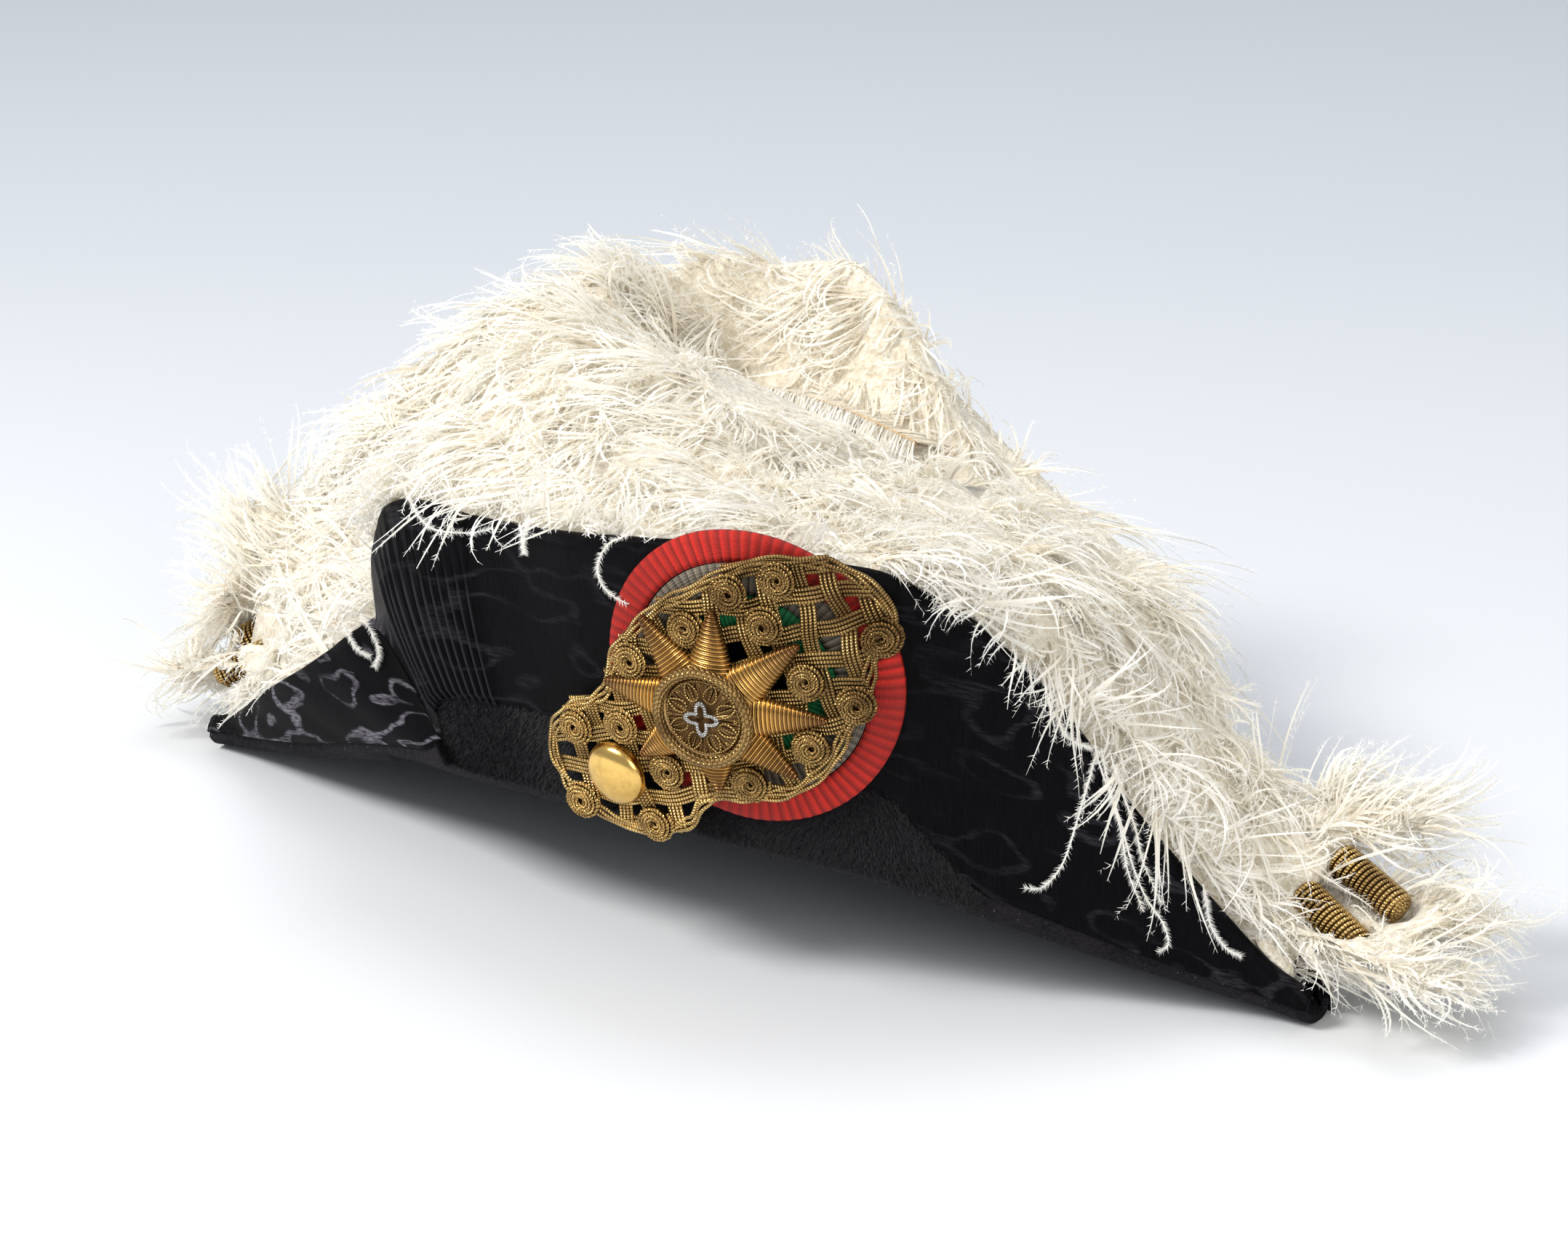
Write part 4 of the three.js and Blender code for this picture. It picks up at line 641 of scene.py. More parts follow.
def feather_material():
    n = Nodes("feather")
    tone = n.read("tone")
    broad = n.noise(48.0, detail=3.0)
    # From root to tip: darker, warmer roots are painted shade deep in the plumage, and the tips are whiter.
    color = n.mix(n.span(tone, 0.0, 0.6), rgb(0.84, 0.75, 0.59), rgb(0.97, 0.935, 0.85))
    color = n.mix(n.span(tone, 0.45, 0.95), color, rgb(0.995, 0.985, 0.95))
    color = n.mix(n.span(broad, 0.50, 0.80, 0, 0.25), color, rgb(0.95, 0.86, 0.66))
    diffuse = n.add("ShaderNodeBsdfDiffuse", {"Color": color, "Roughness": 0.8})
    through = n.add("ShaderNodeBsdfTranslucent", {"Color": color})
    both = n.add("ShaderNodeMixShader", {0: 0.32, 1: diffuse.outputs[0], 2: through.outputs[0]})
    gloss = n.add("ShaderNodeBsdfGlossy", {"Color": rgb(1, 0.98, 0.94), "Roughness": 0.5})
    final = n.add("ShaderNodeMixShader", {0: 0.05, 1: both.outputs[0], 2: gloss.outputs[0]})
    n.tree.links.new(final.outputs[0], n.out.inputs[0])
    return n.material


def down_shade_material():
    n = Nodes("feather_down_painted_shade")
    fluff = n.noise(420.0, detail=5.0)
    # The down is cream patched with darker beige: painted shade in the gaps between the barbs.
    color = n.mix(n.span(fluff, 0.3, 0.7), rgb(0.66, 0.57, 0.42), rgb(0.95, 0.90, 0.78))
    # Near black where the tone is high: painted shadow in the gap under the quill.
    color = n.mix(n.read("tone"), color, rgb(0.02, 0.016, 0.012))
    normal = n.bump(fluff, 0.002)
    return n.surface(Base_Color=color, Roughness=0.95, Normal=normal, Sheen_Weight=0.4)


def quill_material():
    n = Nodes("quill")
    length, turn, _ = n.lay()
    streaks = n.noise(1.0, n.scaled(length, turn, 0.06, 4.0), 4.0)
    color = n.mix(n.span(streaks, 0.3, 0.7), rgb(0.40, 0.20, 0.07), rgb(0.76, 0.48, 0.21))
    normal = n.bump(streaks, 0.0001, 0.4)
    return n.surface(Base_Color=color, Roughness=0.38, Normal=normal, Coat_Weight=0.2)


def floor_material():
    n = Nodes("floor")
    place = n.add("ShaderNodeSeparateXYZ", {0: n.add("ShaderNodeTexCoord").outputs["Object"]}).outputs
    # Lighter towards the camera, darker and bluer away from it: painted falloff of the light over the floor.
    depth = n.plus(n.times(place[1], 0.83), n.times(place[0], -0.56))
    color = n.mix(n.span(depth, -0.35, 0.75), rgb(0.80, 0.81, 0.825), rgb(0.66, 0.69, 0.73))
    color = n.mix(n.span(n.noise(900.0), 0.3, 0.7, 0, 0.04), color, rgb(0.5, 0.5, 0.5))
    return n.surface(Base_Color=color, Roughness=0.75, Specular_IOR_Level=0.2)


# Gilt colours: the dark one is tarnish, and also painted shade in the grooves between turns of wire and on
# the cores under the windings.
GOLD_TARNISH_AND_SHADE, GOLD_LIGHT = rgb(0.075, 0.030, 0.007), rgb(1.0, 0.69, 0.26)
OLD_TARNISH_AND_SHADE, OLD_LIGHT = rgb(0.070, 0.028, 0.007), rgb(1.0, 0.66, 0.23)
# Ribbon colours: the first of each pair is painted shade in the pleats' creases, also used for worn patches;
# the second is painted light on the ridges, also the weave's threads.
RED_SHADE_AND_WEAR, RED_LIT = rgb(0.16, 0.004, 0.002), rgb(0.72, 0.020, 0.008)
GREY_SHADE_AND_WEAR, GREY_LIT = rgb(0.030, 0.024, 0.017), rgb(0.27, 0.225, 0.165)
GREEN_SHADE_AND_WEAR, GREEN_LIT = rgb(0.002, 0.045, 0.015), rgb(0.012, 0.30, 0.09)
MATERIALS = {
    "felt_plush": plush_material(),
    "pile": pile_material(),
    "silk": silk_material(),
    "ribbon_red": ribbon_material("ribbon_red", RED_SHADE_AND_WEAR, RED_LIT, 0.0, 0.5),
    "ribbon_silver": ribbon_material("ribbon_silver", GREY_SHADE_AND_WEAR, GREY_LIT, 0.05, 0.9),
    "ribbon_green": ribbon_material("ribbon_green", GREEN_SHADE_AND_WEAR, GREEN_LIT, 0.05, 0.6),
    "gold_cord": wire_material("gold_cord", GOLD_TARNISH_AND_SHADE, GOLD_LIGHT, 0.15, metallic=0.86),
    "gold_old": wire_material("gold_old", OLD_TARNISH_AND_SHADE, OLD_LIGHT, 0.18, 1.1, 3.0, metallic=0.82),
    "silver_wire": wire_material("silver_wire", rgb(0.16, 0.15, 0.14), rgb(0.72, 0.71, 0.68), 0.25, 0.8),
    "gold_bright": button_material(),
    "feather": feather_material(),
    "down": down_shade_material(),
    "quill": quill_material(),
}


# Felt body: one wall from the top of the front flap, round the rim and crown, to the back flap's top
def stations(parts):
    """Places along the hat, closer together where the form asks for it."""
    return np.unique(np.concatenate([np.linspace(a, b, n) for a, b, n in parts]))


BODY_S = stations([(-0.99, -0.32, 30), (-0.32, -0.10, 34), (-0.10, 0.60, 34), (0.60, 0.99, 20)])


def bent(foot, rim, brim, count=5):
    """Points of a round bend from the foot of a flap to the brim."""
    t = np.linspace(0, 1, count + 2)[1:-1]
    return [foot * (1 - u) ** 2 + rim * 2 * u * (1 - u) + brim * u * u for u in t]


def make_body():
    s = BODY_S
    rows = [front_flap(s, np.full_like(s, h)) for h in np.linspace(1, 0, 15)]
    wide = RIM_WIDTH_FRONT * front_rim(s)
    rim = pile(s * HALF, -wide, rim_z(s))
    rows += bent(rows[-1], rim, crown(s, np.zeros_like(s)))
    rows += [crown(s, np.full_like(s, q)) for q in np.linspace(0, 1, 23)]
    wide = RIM_WIDTH_BACK * rim_width(np.abs(s))
    rim = pile(s * HALF, wide, rim_z(s))
    foot = back_flap(s, np.zeros_like(s))
    rows += bent(crown(s, np.ones_like(s)), rim, foot)
    rows += [back_flap(s, np.full_like(s, h)) for h in np.linspace(0, 1, 15)]
    middle = np.stack(rows, 1)
    along = np.gradient(middle, axis=0)
    across = np.gradient(middle, axis=1)
    out = unit(np.cross(across, along))
    points, quads = slab(middle + out * FELT / 2, middle - out * FELT / 2)
    mesh = new_mesh("felt_body", lean(points), quads)
    face_out(mesh)
    return new_piece("felt_body", mesh, MATERIALS["felt_plush"], "felt_plush", "body")


body_obj = make_body()


# Plush strands: flap, how many, and the ends of their band along the hat
PILE_BANDS = [(front_flap, 24000, (-0.30, 0.57)), (back_flap, 7000, (-0.93, 0.93))]
PILE_LENGTH, PILE_HALF_WIDTH = (1.4, 3.0), 0.16


def make_pile():
    """Short plush on the felt that the silk leaves bare: a band on the front flap, and the back's foot."""
    heap = Heap()
    for flap, count, ends in PILE_BANDS:
        s = RNG.uniform(*ends, count)
        if flap is front_flap:
            top = silk_low(s) + 0.02
            h = RNG.uniform(-0.02, 1, count) * top
        else:
            height = np.linalg.norm(flap(s, np.ones(count)) - flap(s, np.zeros(count)), axis=1)
            h = RNG.uniform(0, 1, count) * np.maximum(0.08, 1 - BAND_BACK / height)
        base = flap(s, h)
        out = flap_normal(flap, s, h)
        up = unit(flap(s, h + 0.02) - base)
        side = np.cross(out, up)
        root = base + out * (FELT / 2 - 0.1)
        sweep = 0.6 * np.sin(0.09 * base[:, 0] + 0.05 * base[:, 2]) + RNG.normal(0, 0.45, count)
        hang = RNG.uniform(0.2, 1.1, count)
        length = RNG.uniform(*PILE_LENGTH, count)
        way = unit(out + side * sweep[:, None] - up * hang[:, None])
        tip = root + way * length[:, None]
        width = unit(np.cross(way, out) + side * 0.3) * PILE_HALF_WIDTH
        points, tris = blades(root - width, root + width, tip)
        # Roots get tone 0 and tips a random tone, which the pile's material paints as shade low in the pile
        # and glints on the tips.
        tint = RNG.uniform(0.2, 1.0, count)
        heap.add(points, None, tris, None, np.concatenate([0 * tint, 0 * tint, tint]))
    mesh = heap.mesh("plush_pile", smooth=False)
    new_piece("plush_pile", mesh, MATERIALS["pile"], "felt_plush")


make_pile()

# Silk covers. Folds: start and end along the hat, count, depth, and where up the flap they fade and stop
PLEAT_DEPTH = 1.7
PLEATS = (-0.238, -0.114, 12, PLEAT_DEPTH, 0.69, 1.0)
GATHERS = (0.48, 0.60, 5, 0.9, 0.26, 0.42)


def fan_fold(fan, s, h, knife):
    """Height of a fan of folds; knife is the share of a fold that its rising side takes."""
    start, end, count, depth, fade, stop = fan
    place = (s - start) / (end - start)
    turn = np.mod(place * count, 1.0)
    wave = np.where(turn < knife, turn / knife, (1 - turn) / (1 - knife)) ** 1.2
    share = np.clip((stop - h) / (stop - fade), 0, 1)
    return np.where((place > 0) & (place < 1), depth * wave * share, 0.0)


# Place of the silk's top lip past the flap's edge: millimetres up the flap, and out from its middle
LIP = [(-1.2, 2.62), (0.2, 2.45), (1.1, 1.9), (1.55, 0.9), (1.6, -0.2), (1.1, -1.1), (0.2, -1.55),
       (-2.5, -1.7)]
SILK_ROWS = 22


def make_silk(name, flap, s, low, fold, streak):
    """Cover from low up over the flap's edge, and the area of its outer face in square metres."""
    top = np.ones_like(s)
    height = np.linalg.norm(flap(s, top) - flap(s, 0 * s), axis=1)
    outer, inner, lay, ridge_highlight = [], [], [], []
    for t in np.linspace(0, 1, SILK_ROWS):
        h = low + (1 - 1.4 / height - low) * t
        base, out = flap(s, h), flap_normal(flap, s, np.clip(h, 0.03, 0.97))
        tuck = 1 - np.clip(t / 0.02, 0, 1)
        outer.append(base + out * (FLAP_FACE + fold(s, h) - tuck)[:, None])
        inner.append(base + out * (FELT / 2 + SILK_SEAT + 0.3))
        lay.append(pile(s * HALF, h * height, streak(s)))
        # The fold's height is kept as a tone, which paints a highlight on the pleats' ridges.
        ridge_highlight.append(fold(s, h) / PLEAT_DEPTH)
    edge, out = flap(s, top), flap_normal(flap, s, 0.97 * top)
    up = unit(edge - flap(s, 0.9 * top))
    for rise, away in LIP:
        folded = fold(s, 0.97 * top) * (away > 1.0)
        outer.append(edge + up * rise + out * (away + folded)[:, None])
        inner.append(edge + up * (rise * 0.55 - 0.35) + out * np.clip(away, -1.35, 2.0))
        lay.append(pile(s * HALF, height + rise, streak(s)))
        ridge_highlight.append(fold(s, top) / PLEAT_DEPTH)
    outer, inner = np.stack(outer, 1), np.stack(inner, 1)
    points, quads = slab(outer, inner)
    flat = np.stack(lay, 1).reshape(-1, 3)
    tone = np.stack(ridge_highlight, 1).ravel()
    mesh = new_mesh(name, lean(points), quads,
                    lay=np.concatenate([flat, flat]), tone=np.concatenate([tone, 0 * tone]))
    face_out(mesh)
    area = float(np.sum(np.linalg.norm(np.cross(
        outer[1:, :-1] - outer[:-1, :-1], outer[:-1, 1:] - outer[:-1, :-1]), axis=-1))) / 1e6
    return mesh, area


FRONT_S = stations([(-0.99, -0.30, 46), (-0.30, -0.238, 11), (-0.238, -0.114, 97), (-0.114, 0.48, 44),
                    (0.48, 0.60, 31), (0.60, 0.99, 28)])


def front_fold(s, h):
    """Folds of the front cover: knife pleats by the ear, gathers to the right and a soft sway."""
    soft = 0.35 * np.sin(0.11 * s * HALF + 5 * h) * np.clip(np.abs(s - 0.25) * 2 - 0.3, 0, 1)
    return fan_fold(PLEATS, s, h, 0.72) + fan_fold(GATHERS, s, h, 0.5) + np.abs(soft)


def back_fold(s, h):
    return 0.2 + 0.2 * np.sin(0.07 * s * HALF + 3 * h)


def front_moire_highlight(s):
    """How strongly the moire is painted in as a highlight: most on the left end, little in the middle."""
    return np.interp(s, [-1, -0.9, -0.5, -0.3, -0.24, 0.0, 0.5, 0.8, 1],
                     [0.6, 1, 1, 0.9, 0.12, 0.06, 0.05, 0.16, 0.16])


def back_moire_highlight(s):
    # Faint painted moire highlight all over the back cover.
    return np.full_like(s, 0.12)


front_mesh, front_area = make_silk(
    "silk_cover_front", front_flap, FRONT_S, silk_low(FRONT_S), front_fold, front_moire_highlight)
silk_front = new_piece("silk_cover_front", front_mesh, MATERIALS["silk"], "silk", "silk_front")
BACK_S = np.linspace(-0.99, 0.99, 130)
back_drop = np.linalg.norm(
    back_flap(BACK_S, np.ones_like(BACK_S)) - back_flap(BACK_S, np.zeros_like(BACK_S)), axis=1)
back_low = np.maximum(0.06, 1 - BAND_BACK / back_drop)
back_mesh, back_area = make_silk("silk_cover_back", back_flap, BACK_S, back_low, back_fold, back_moire_highlight)
silk_back = new_piece("silk_cover_back", back_mesh, MATERIALS["silk"], "silk", "silk_back")


# Cockade: three colours of one pleated ribbon. Each pleat of the solids is three fine ones here
FINE_PLEATS = 3 * COCKADE_PLEATS
PLEAT_POINTS, PLEAT_RISING, RING_COLUMNS = 6, 0.70, 6


def make_ring(name, node, low, high, slot):
    """One colour, between two shares of the cockade's radius."""
    inner = low * COCKADE_RADIUS + CLEARANCE / 2
    outer = high * COCKADE_RADIUS - CLEARANCE / 2
    count = FINE_PLEATS * PLEAT_POINTS
    angle = 2 * np.pi * np.arange(count + 1) / count
    turn = np.mod(np.arange(count + 1) / PLEAT_POINTS, 1.0)
    ridge = np.where(turn < PLEAT_RISING, turn / PLEAT_RISING, (1 - turn) / (1 - PLEAT_RISING))
    ridge = ridge * (0.75 + 0.25 * np.sin(3.7 * angle + 1.0))
    radii = np.linspace(inner, outer, RING_COLUMNS)
    tops, backs, lay = [], [], []
    for k, radius in enumerate(radii):
        share = radius / COCKADE_RADIUS
        rise = COCKADE_PLEAT_DEPTH * ridge * (1.0 - 0.55 * share ** 3)
        rounded = 0.25 if k in (0, len(radii) - 1) else 0.0
        skew = 0.05 * ridge * (1 - share)
        x, y = radius * np.cos(angle + skew), radius * np.sin(angle + skew)
        tops.append(pile(x, y, COCKADE_SEAT + COCKADE_THICK - rounded + rise))
        backs.append(pile(x, y, COCKADE_SEAT))
        # The ridge share also goes to the colour: painted shade in the creases and painted light on the
        # ridges.
        lay.append(pile(angle * radius, radius, ridge))
    tops, backs = np.stack(tops, 1), np.stack(backs, 1)
    heap = Heap()
    points, quads = slab(tops[:-1], backs[:-1])
    cols = RING_COLUMNS
    n = count * cols
    first, last = np.arange(cols - 1), (count - 1) * cols + np.arange(cols - 1)
    # the slab's two end strips give way to quads that close the ring
    keep = quads[: -2 * (cols - 1)]
    seam = np.concatenate([np.stack([last, last + 1, first + 1, first], -1),
                           np.stack([first, first + 1, last + 1, last], -1) + n,
                           [[last[0], first[0], first[0] + n, last[0] + n],
                            [first[-1] + 1, last[-1] + 1, last[-1] + 1 + n, first[-1] + 1 + n]]])
    flat = np.stack(lay, 1)[:-1].reshape(-1, 3)
    heap.add(points, np.concatenate([keep, seam]), None, np.concatenate([flat, flat]))
    mesh = heap.mesh(name, laid)
    face_out(mesh)
    new_piece(name, mesh, MATERIALS[slot], slot, node)


make_ring("ribbon_red_ring", "cockade_red", 0.79, 1.0, "ribbon_red")
make_ring("ribbon_silver_ring", "cockade_silver", 0.58, 0.79, "ribbon_silver")
make_ring("ribbon_green_ring", "cockade_green", 0.36, 0.58, "ribbon_green")

# Cord work: cords of four wires, laced over and under, and three wandering wires round the outline
WIRE_OFFSETS, WIRE_RADIUS = (-1.95, -0.65, 0.65, 1.95), 0.63
EDGE_OFFSETS, EDGE_RADIUS = (0.5, 1.8, 3.1), 0.64
CORD_OUTLINE = COCKADE_RADIUS * np.array([
    (-1.04, -0.17), (-0.96, 0.09), (-0.79, 0.28), (-0.61, 0.46), (-0.41, 0.60), (-0.17, 0.74), (0.09, 0.85),
    (0.37, 0.91), (0.65, 0.90), (0.87, 0.74), (1.00, 0.50), (0.90, 0.26), (0.85, 0.07), (0.81, -0.11),
    (0.70, -0.26), (0.61, -0.46), (0.43, -0.65), (0.24, -0.77), (0.00, -0.84), (-0.22, -0.85), (-0.34, -0.91),
    (-0.43, -1.07), (-0.61, -1.17), (-0.87, -1.21), (-1.15, -1.16), (-1.38, -1.05), (-1.48, -0.89),
    (-1.52, -0.72), (-1.48, -0.52), (-1.33, -0.36), (-1.15, -0.28)])


def margin_inside(points, x, y):
    """Distance to the outline, positive inside it."""
    inside = np.zeros(x.shape, bool)
    near = np.full(x.shape, 1e9)
    for p, q in zip(points, np.roll(points, -1, 0)):
        if p[1] != q[1]:
            crossing = (q[0] - p[0]) * (y - p[1]) / (q[1] - p[1]) + p[0]
            inside ^= ((p[1] > y) != (q[1] > y)) & (x < crossing)
        d = q - p
        t = np.clip(((x - p[0]) * d[0] + (y - p[1]) * d[1]) / (d @ d), 0, 1)
        near = np.minimum(near, np.hypot(x - p[0] - t * d[0], y - p[1] - t * d[1]))
    return np.where(inside, near, -near)


def age_at(x, y):
    """Tone of the gilt: darker and browner up and to the right, and in patches."""
    return np.clip(0.78 - 0.0065 * (x + y) + 0.12 * np.sin(0.21 * x + 1.3) * np.sin(0.17 * y), 0.18, 1.0)


def closed_curve(points, count):
    """Smooth closed line through points."""
    n = len(points)
    t = np.arange(count) * n / count
    i = t.astype(int)
    u = (t - i)[:, None]
    return round_line(*(points[(i + k) % n] for k in (-1, 0, 1, 2)), u)


def make_cord_work():
    """Lattice of cords inside the outline, and the wires round it."""
    heap = Heap()
    level = CORD_LEVEL + 1.0
    c, n = math.cos(CORD_TURN), math.sin(CORD_TURN)
    turn = np.array([[c, -n], [n, c]])
    t = np.arange(-110, 110, 1.6)
    for way in (0, 1):
        for i in range(-9, 9):
            line = (i + 0.5) * CORD_PITCH
            flat = np.stack([t, np.full_like(t, line)] if way == 0 else [np.full_like(t, line), t], -1)
            sway = 0.85 * np.sin(0.13 * t + 2.1 * i) + 0.4 * np.sin(0.31 * t + i)
            flat[:, 1 - way] += sway
            place = flat @ turn.T
            inside = margin_inside(CORD_OUTLINE, place[:, 0], place[:, 1]) > 0.9
            sign = (-1) ** i * (1 if way == 0 else -1)
            weave = 0.55 * sign * np.cos(np.pi * (t / CORD_PITCH - 0.5))
            breaks = np.flatnonzero(np.diff(inside.astype(int))) + 1
            for run in np.split(np.arange(len(t)), breaks):
                if not inside[run[0]] or len(run) < 5:
                    continue
                for k, offset in enumerate(WIRE_OFFSETS):
                    shift = (np.array([0, offset]) if way == 0 else np.array([offset, 0])) @ turn.T
                    rise = 0.14 if k in (1, 2) else 0
                    path = np.column_stack([place[run] + shift, level + weave[run] + rise])
                    points, quads, tris, lay = tube(path, WIRE_RADIUS, 6)
                    tone = age_at(points[:, 0], points[:, 1]) * (0.9 + 0.1 * (k % 2))
                    heap.add(points, quads, tris, lay, tone)
    ring = closed_curve(CORD_OUTLINE, 420)
    along = unit(np.roll(ring, -1, 0) - np.roll(ring, 1, 0))
    inward = np.stack([along[:, 1], -along[:, 0]], -1)
    turns = full_turn(len(ring))
    for number, offset in enumerate(EDGE_OFFSETS):
        wander = 0.35 * np.sin(23 * turns + 1.5 * number) + 0.35 * np.sin(9 * turns)
        path = np.column_stack([ring + inward * (offset + wander)[:, None],
                                level + 0.55 + 0.35 * np.sin(31 * turns + 2 * number)])
        points, quads, tris, lay = tube(path, EDGE_RADIUS, 7, closed=True)
        heap.add(points, quads, tris, lay, age_at(points[:, 0], points[:, 1]))
    heap.piece("gold_lacing", "gold_cord", "cord_work", place=laid)


make_cord_work()

# Rosettes: places in the drawing, as shares of the cockade's radius
ROSETTES = [
    (-0.05, 0.63), (0.28, 0.75), (-0.37, 0.35), (0.17, 0.43), (-0.79, 0.06), (0.43, 0.08), (0.91, 0.38),
    (0.74, -0.07), (0.43, -0.38), (0.00, -0.68), (-1.27, -0.51), (-0.90, -0.42), (-0.58, -0.68),
    (-0.72, -1.09), (-1.28, -1.05)]
COIL_TURNS, COIL_POINTS, COIL_WIRE = 4.6, 120, 0.42
TWIST_RADIUS, TWIST_LENGTH = 0.34, 1.9


def make_rosettes():
    """Coils of two gilt threads twisted together, with a small hollow in the middle."""
    heap = Heap()
    for number, (a, b) in enumerate(ROSETTES):
        x, y = a * COCKADE_RADIUS, b * COCKADE_RADIUS
        t = np.linspace(0, 1, COIL_POINTS)
        angle = 2 * np.pi * COIL_TURNS * t + 1.7 * number
        radius = 0.95 + (ROSETTE_RADIUS - 1.15) * t
        share = radius / ROSETTE_RADIUS
        high = ROSETTE_THICK * np.interp(
            share, [0, 0.14, 0.38, 0.62, 0.85, 1], [0.3, 0.62, 1.1, 1.12, 0.75, 0.28])
        length = np.concatenate([[0], np.cumsum(np.hypot(np.diff(radius), np.diff(angle) * radius[1:]))])
        aged = np.clip(age_at(x, y) - 0.08 + 0.10 * math.sin(3.1 * number), 0.25, 0.9)
        for start in (0, np.pi):
            twist = 2 * np.pi * length / TWIST_LENGTH + start
            out = radius + TWIST_RADIUS * np.cos(twist)
            path = np.column_stack([x + out * np.cos(angle), y + out * np.sin(angle),
                                    ROSETTE_LEVEL + high - 0.4 + TWIST_RADIUS * np.sin(twist)])
            heap.add(*tube(path, COIL_WIRE, 5), aged)
        # Disc under the coils, at a tone that makes it nearly the dark colour: painted shade in the hollow
        # and between the coils.
        disc = [(share * 5.6, ROSETTE_LEVEL + 0.35) for share in np.linspace(0.05, 1, 5)]
        heap.add(turned(x, y, disc, 20), grid_quads(5, 20, True), None, None, 0.05)
    names = [f"rosette_{k + 1:02d}" for k in range(len(ROSETTES))]
    heap.piece("gold_rosettes", "gold_old", *names, place=laid)


make_rosettes()

# Star, its rope ring, boss and knot, and the button
STAR_A, STAR_B = -0.23 * COCKADE_RADIUS, -0.18 * COCKADE_RADIUS
# Rays: way as a share of a full turn, and reach as a share of the star's radius
STAR_RAYS = [(0.000, 1.10), (0.108, 1.13), (0.236, 0.96), (0.357, 1.02), (0.485, 1.07), (0.604, 0.93),
             (0.753, 0.81), (0.897, 0.97)]
RAY_THREAD, RAY_SIDES = 1.24, 15


def star_material():
    n = Nodes("gold_star")
    out = n.lay()[0]
    tone = n.read("tone")
    color = n.mix(n.span(tone, 0.35, 0.95), rgb(0.95, 0.60, 0.19), rgb(0.22, 0.10, 0.035))
    dirt = n.span(n.noise(140.0, detail=4.0), 0.35, 0.7)
    color = n.mix(n.times(dirt, 0.35), color, rgb(0.40, 0.22, 0.07))
    thread = n.sine(n.times(out, 2 * math.pi / RAY_THREAD))
    # The grooves between the thread's turns are painted dark: painted shade.
    color = n.mix(n.span(thread, -1.0, 0.1, 0.75, 0.0), color, rgb(0.09, 0.035, 0.012))
    normal = n.bump(thread, 0.00022, 0.9)
    return n.surface(Base_Color=color, Roughness=0.24, Metallic=0.92, Normal=normal)


def make_star():
    """Eight padded rays wound with thread, and the disc that they meet on."""
    heap = Heap()
    hub = 1.03 * STAR_RING_RADIUS
    for turn, reach in STAR_RAYS:
        out = np.linspace(0.55 * hub, reach * STAR_RADIUS, 88)
        t = (out - out[0]) / (out[-1] - out[0])
        taper = np.clip((out - hub) / (out[-1] - hub), 0, 1)
        wide = hub * (0.06 + 0.41 * (1 - taper) ** 0.9)
        high = np.interp(out, [0.55 * hub, hub, out[-1]], [0.75, 0.98, 0.34]) * STAR_RISE
        wide = wide * (1 - 0.9 * np.clip((t - 0.97) / 0.03, 0, 1) ** 2)
        rib = 1 + 0.055 * np.sin(2 * np.pi * out / RAY_THREAD)
        angle = np.linspace(0, np.pi, RAY_SIDES)
        y = wide[:, None] * np.cos(angle)[None] * rib[:, None]
        z = (high * rib)[:, None] * np.sin(angle)[None] ** 0.85
        x = np.broadcast_to(out[:, None], y.shape)
        c, n = math.cos(2 * math.pi * turn), math.sin(2 * math.pi * turn)
        points = pile(STAR_A + x * c - y * n, STAR_B + x * n + y * c, STAR_LEVEL + z).reshape(-1, 3)
        lay = pile(x, y, 0.0).reshape(-1, 3)
        rows = len(out)
        end = (rows - 1) * RAY_SIDES
        tip = np.array([[end + k, end + k + 1, end] for k in range(1, RAY_SIDES - 1)])
        first = RAY_SIDES * np.arange(rows - 1)
        base = np.stack([first, first + RAY_SIDES, first + 2 * RAY_SIDES - 1, first + RAY_SIDES - 1], -1)
        quads = np.concatenate([grid_quads(rows, RAY_SIDES), base])
        heap.add(points, quads, tip, lay, np.repeat(t, RAY_SIDES))
    profile = ((0.999, 0.0), (1.0, 0.8), (0.97, 0.98), (0.6, 1.0), (0.01, 1.0))
    disc = [(hub * share, STAR_LEVEL + STAR_RISE * rise) for share, rise in profile]
    heap.add(turned(STAR_A, STAR_B, disc, 64), grid_quads(len(disc), 64, True), None, None, 0.7)
    mesh = heap.mesh("gold_star", laid)
    new_piece("gold_star", mesh, star_material(), "gold_cord", "star")


make_star()


def make_star_ring():
    """Rope of four strands round the boss."""
    heap = Heap()
    angle = full_turn(180)
    for start in full_turn(4):
        twist = 13 * angle + start
        radius = STAR_RING_RADIUS + 0.50 * STAR_RING_WIRE * np.cos(twist)
        path = np.column_stack([STAR_A + radius * np.cos(angle), STAR_B + radius * np.sin(angle),
                                STAR_TOP + STAR_RING_WIRE * (0.87 + 0.46 * np.sin(twist))])
        heap.add(*tube(path, 0.47 * STAR_RING_WIRE, 8, closed=True), 0.42)
    heap.piece("rope_ring", "gold_old", "star_ring", place=laid)


make_star_ring()


def flat_path(points, level):
    """Path round the star's middle, at one level of the drawing."""
    return pile(STAR_A + points[:, 0], STAR_B + points[:, 1], level)


# Boss: shares of its radius and height from its foot to its middle
BOSS_HEIGHT = 1.9
BOSS_PROFILE = [(1.0, 0.02), (1.0, 0.42), (0.95, 0.52), (0.78, 0.62), (0.5, 0.66), (0.42, 0.8), (0.2, 0.72),
                (0.01, 0.72)]


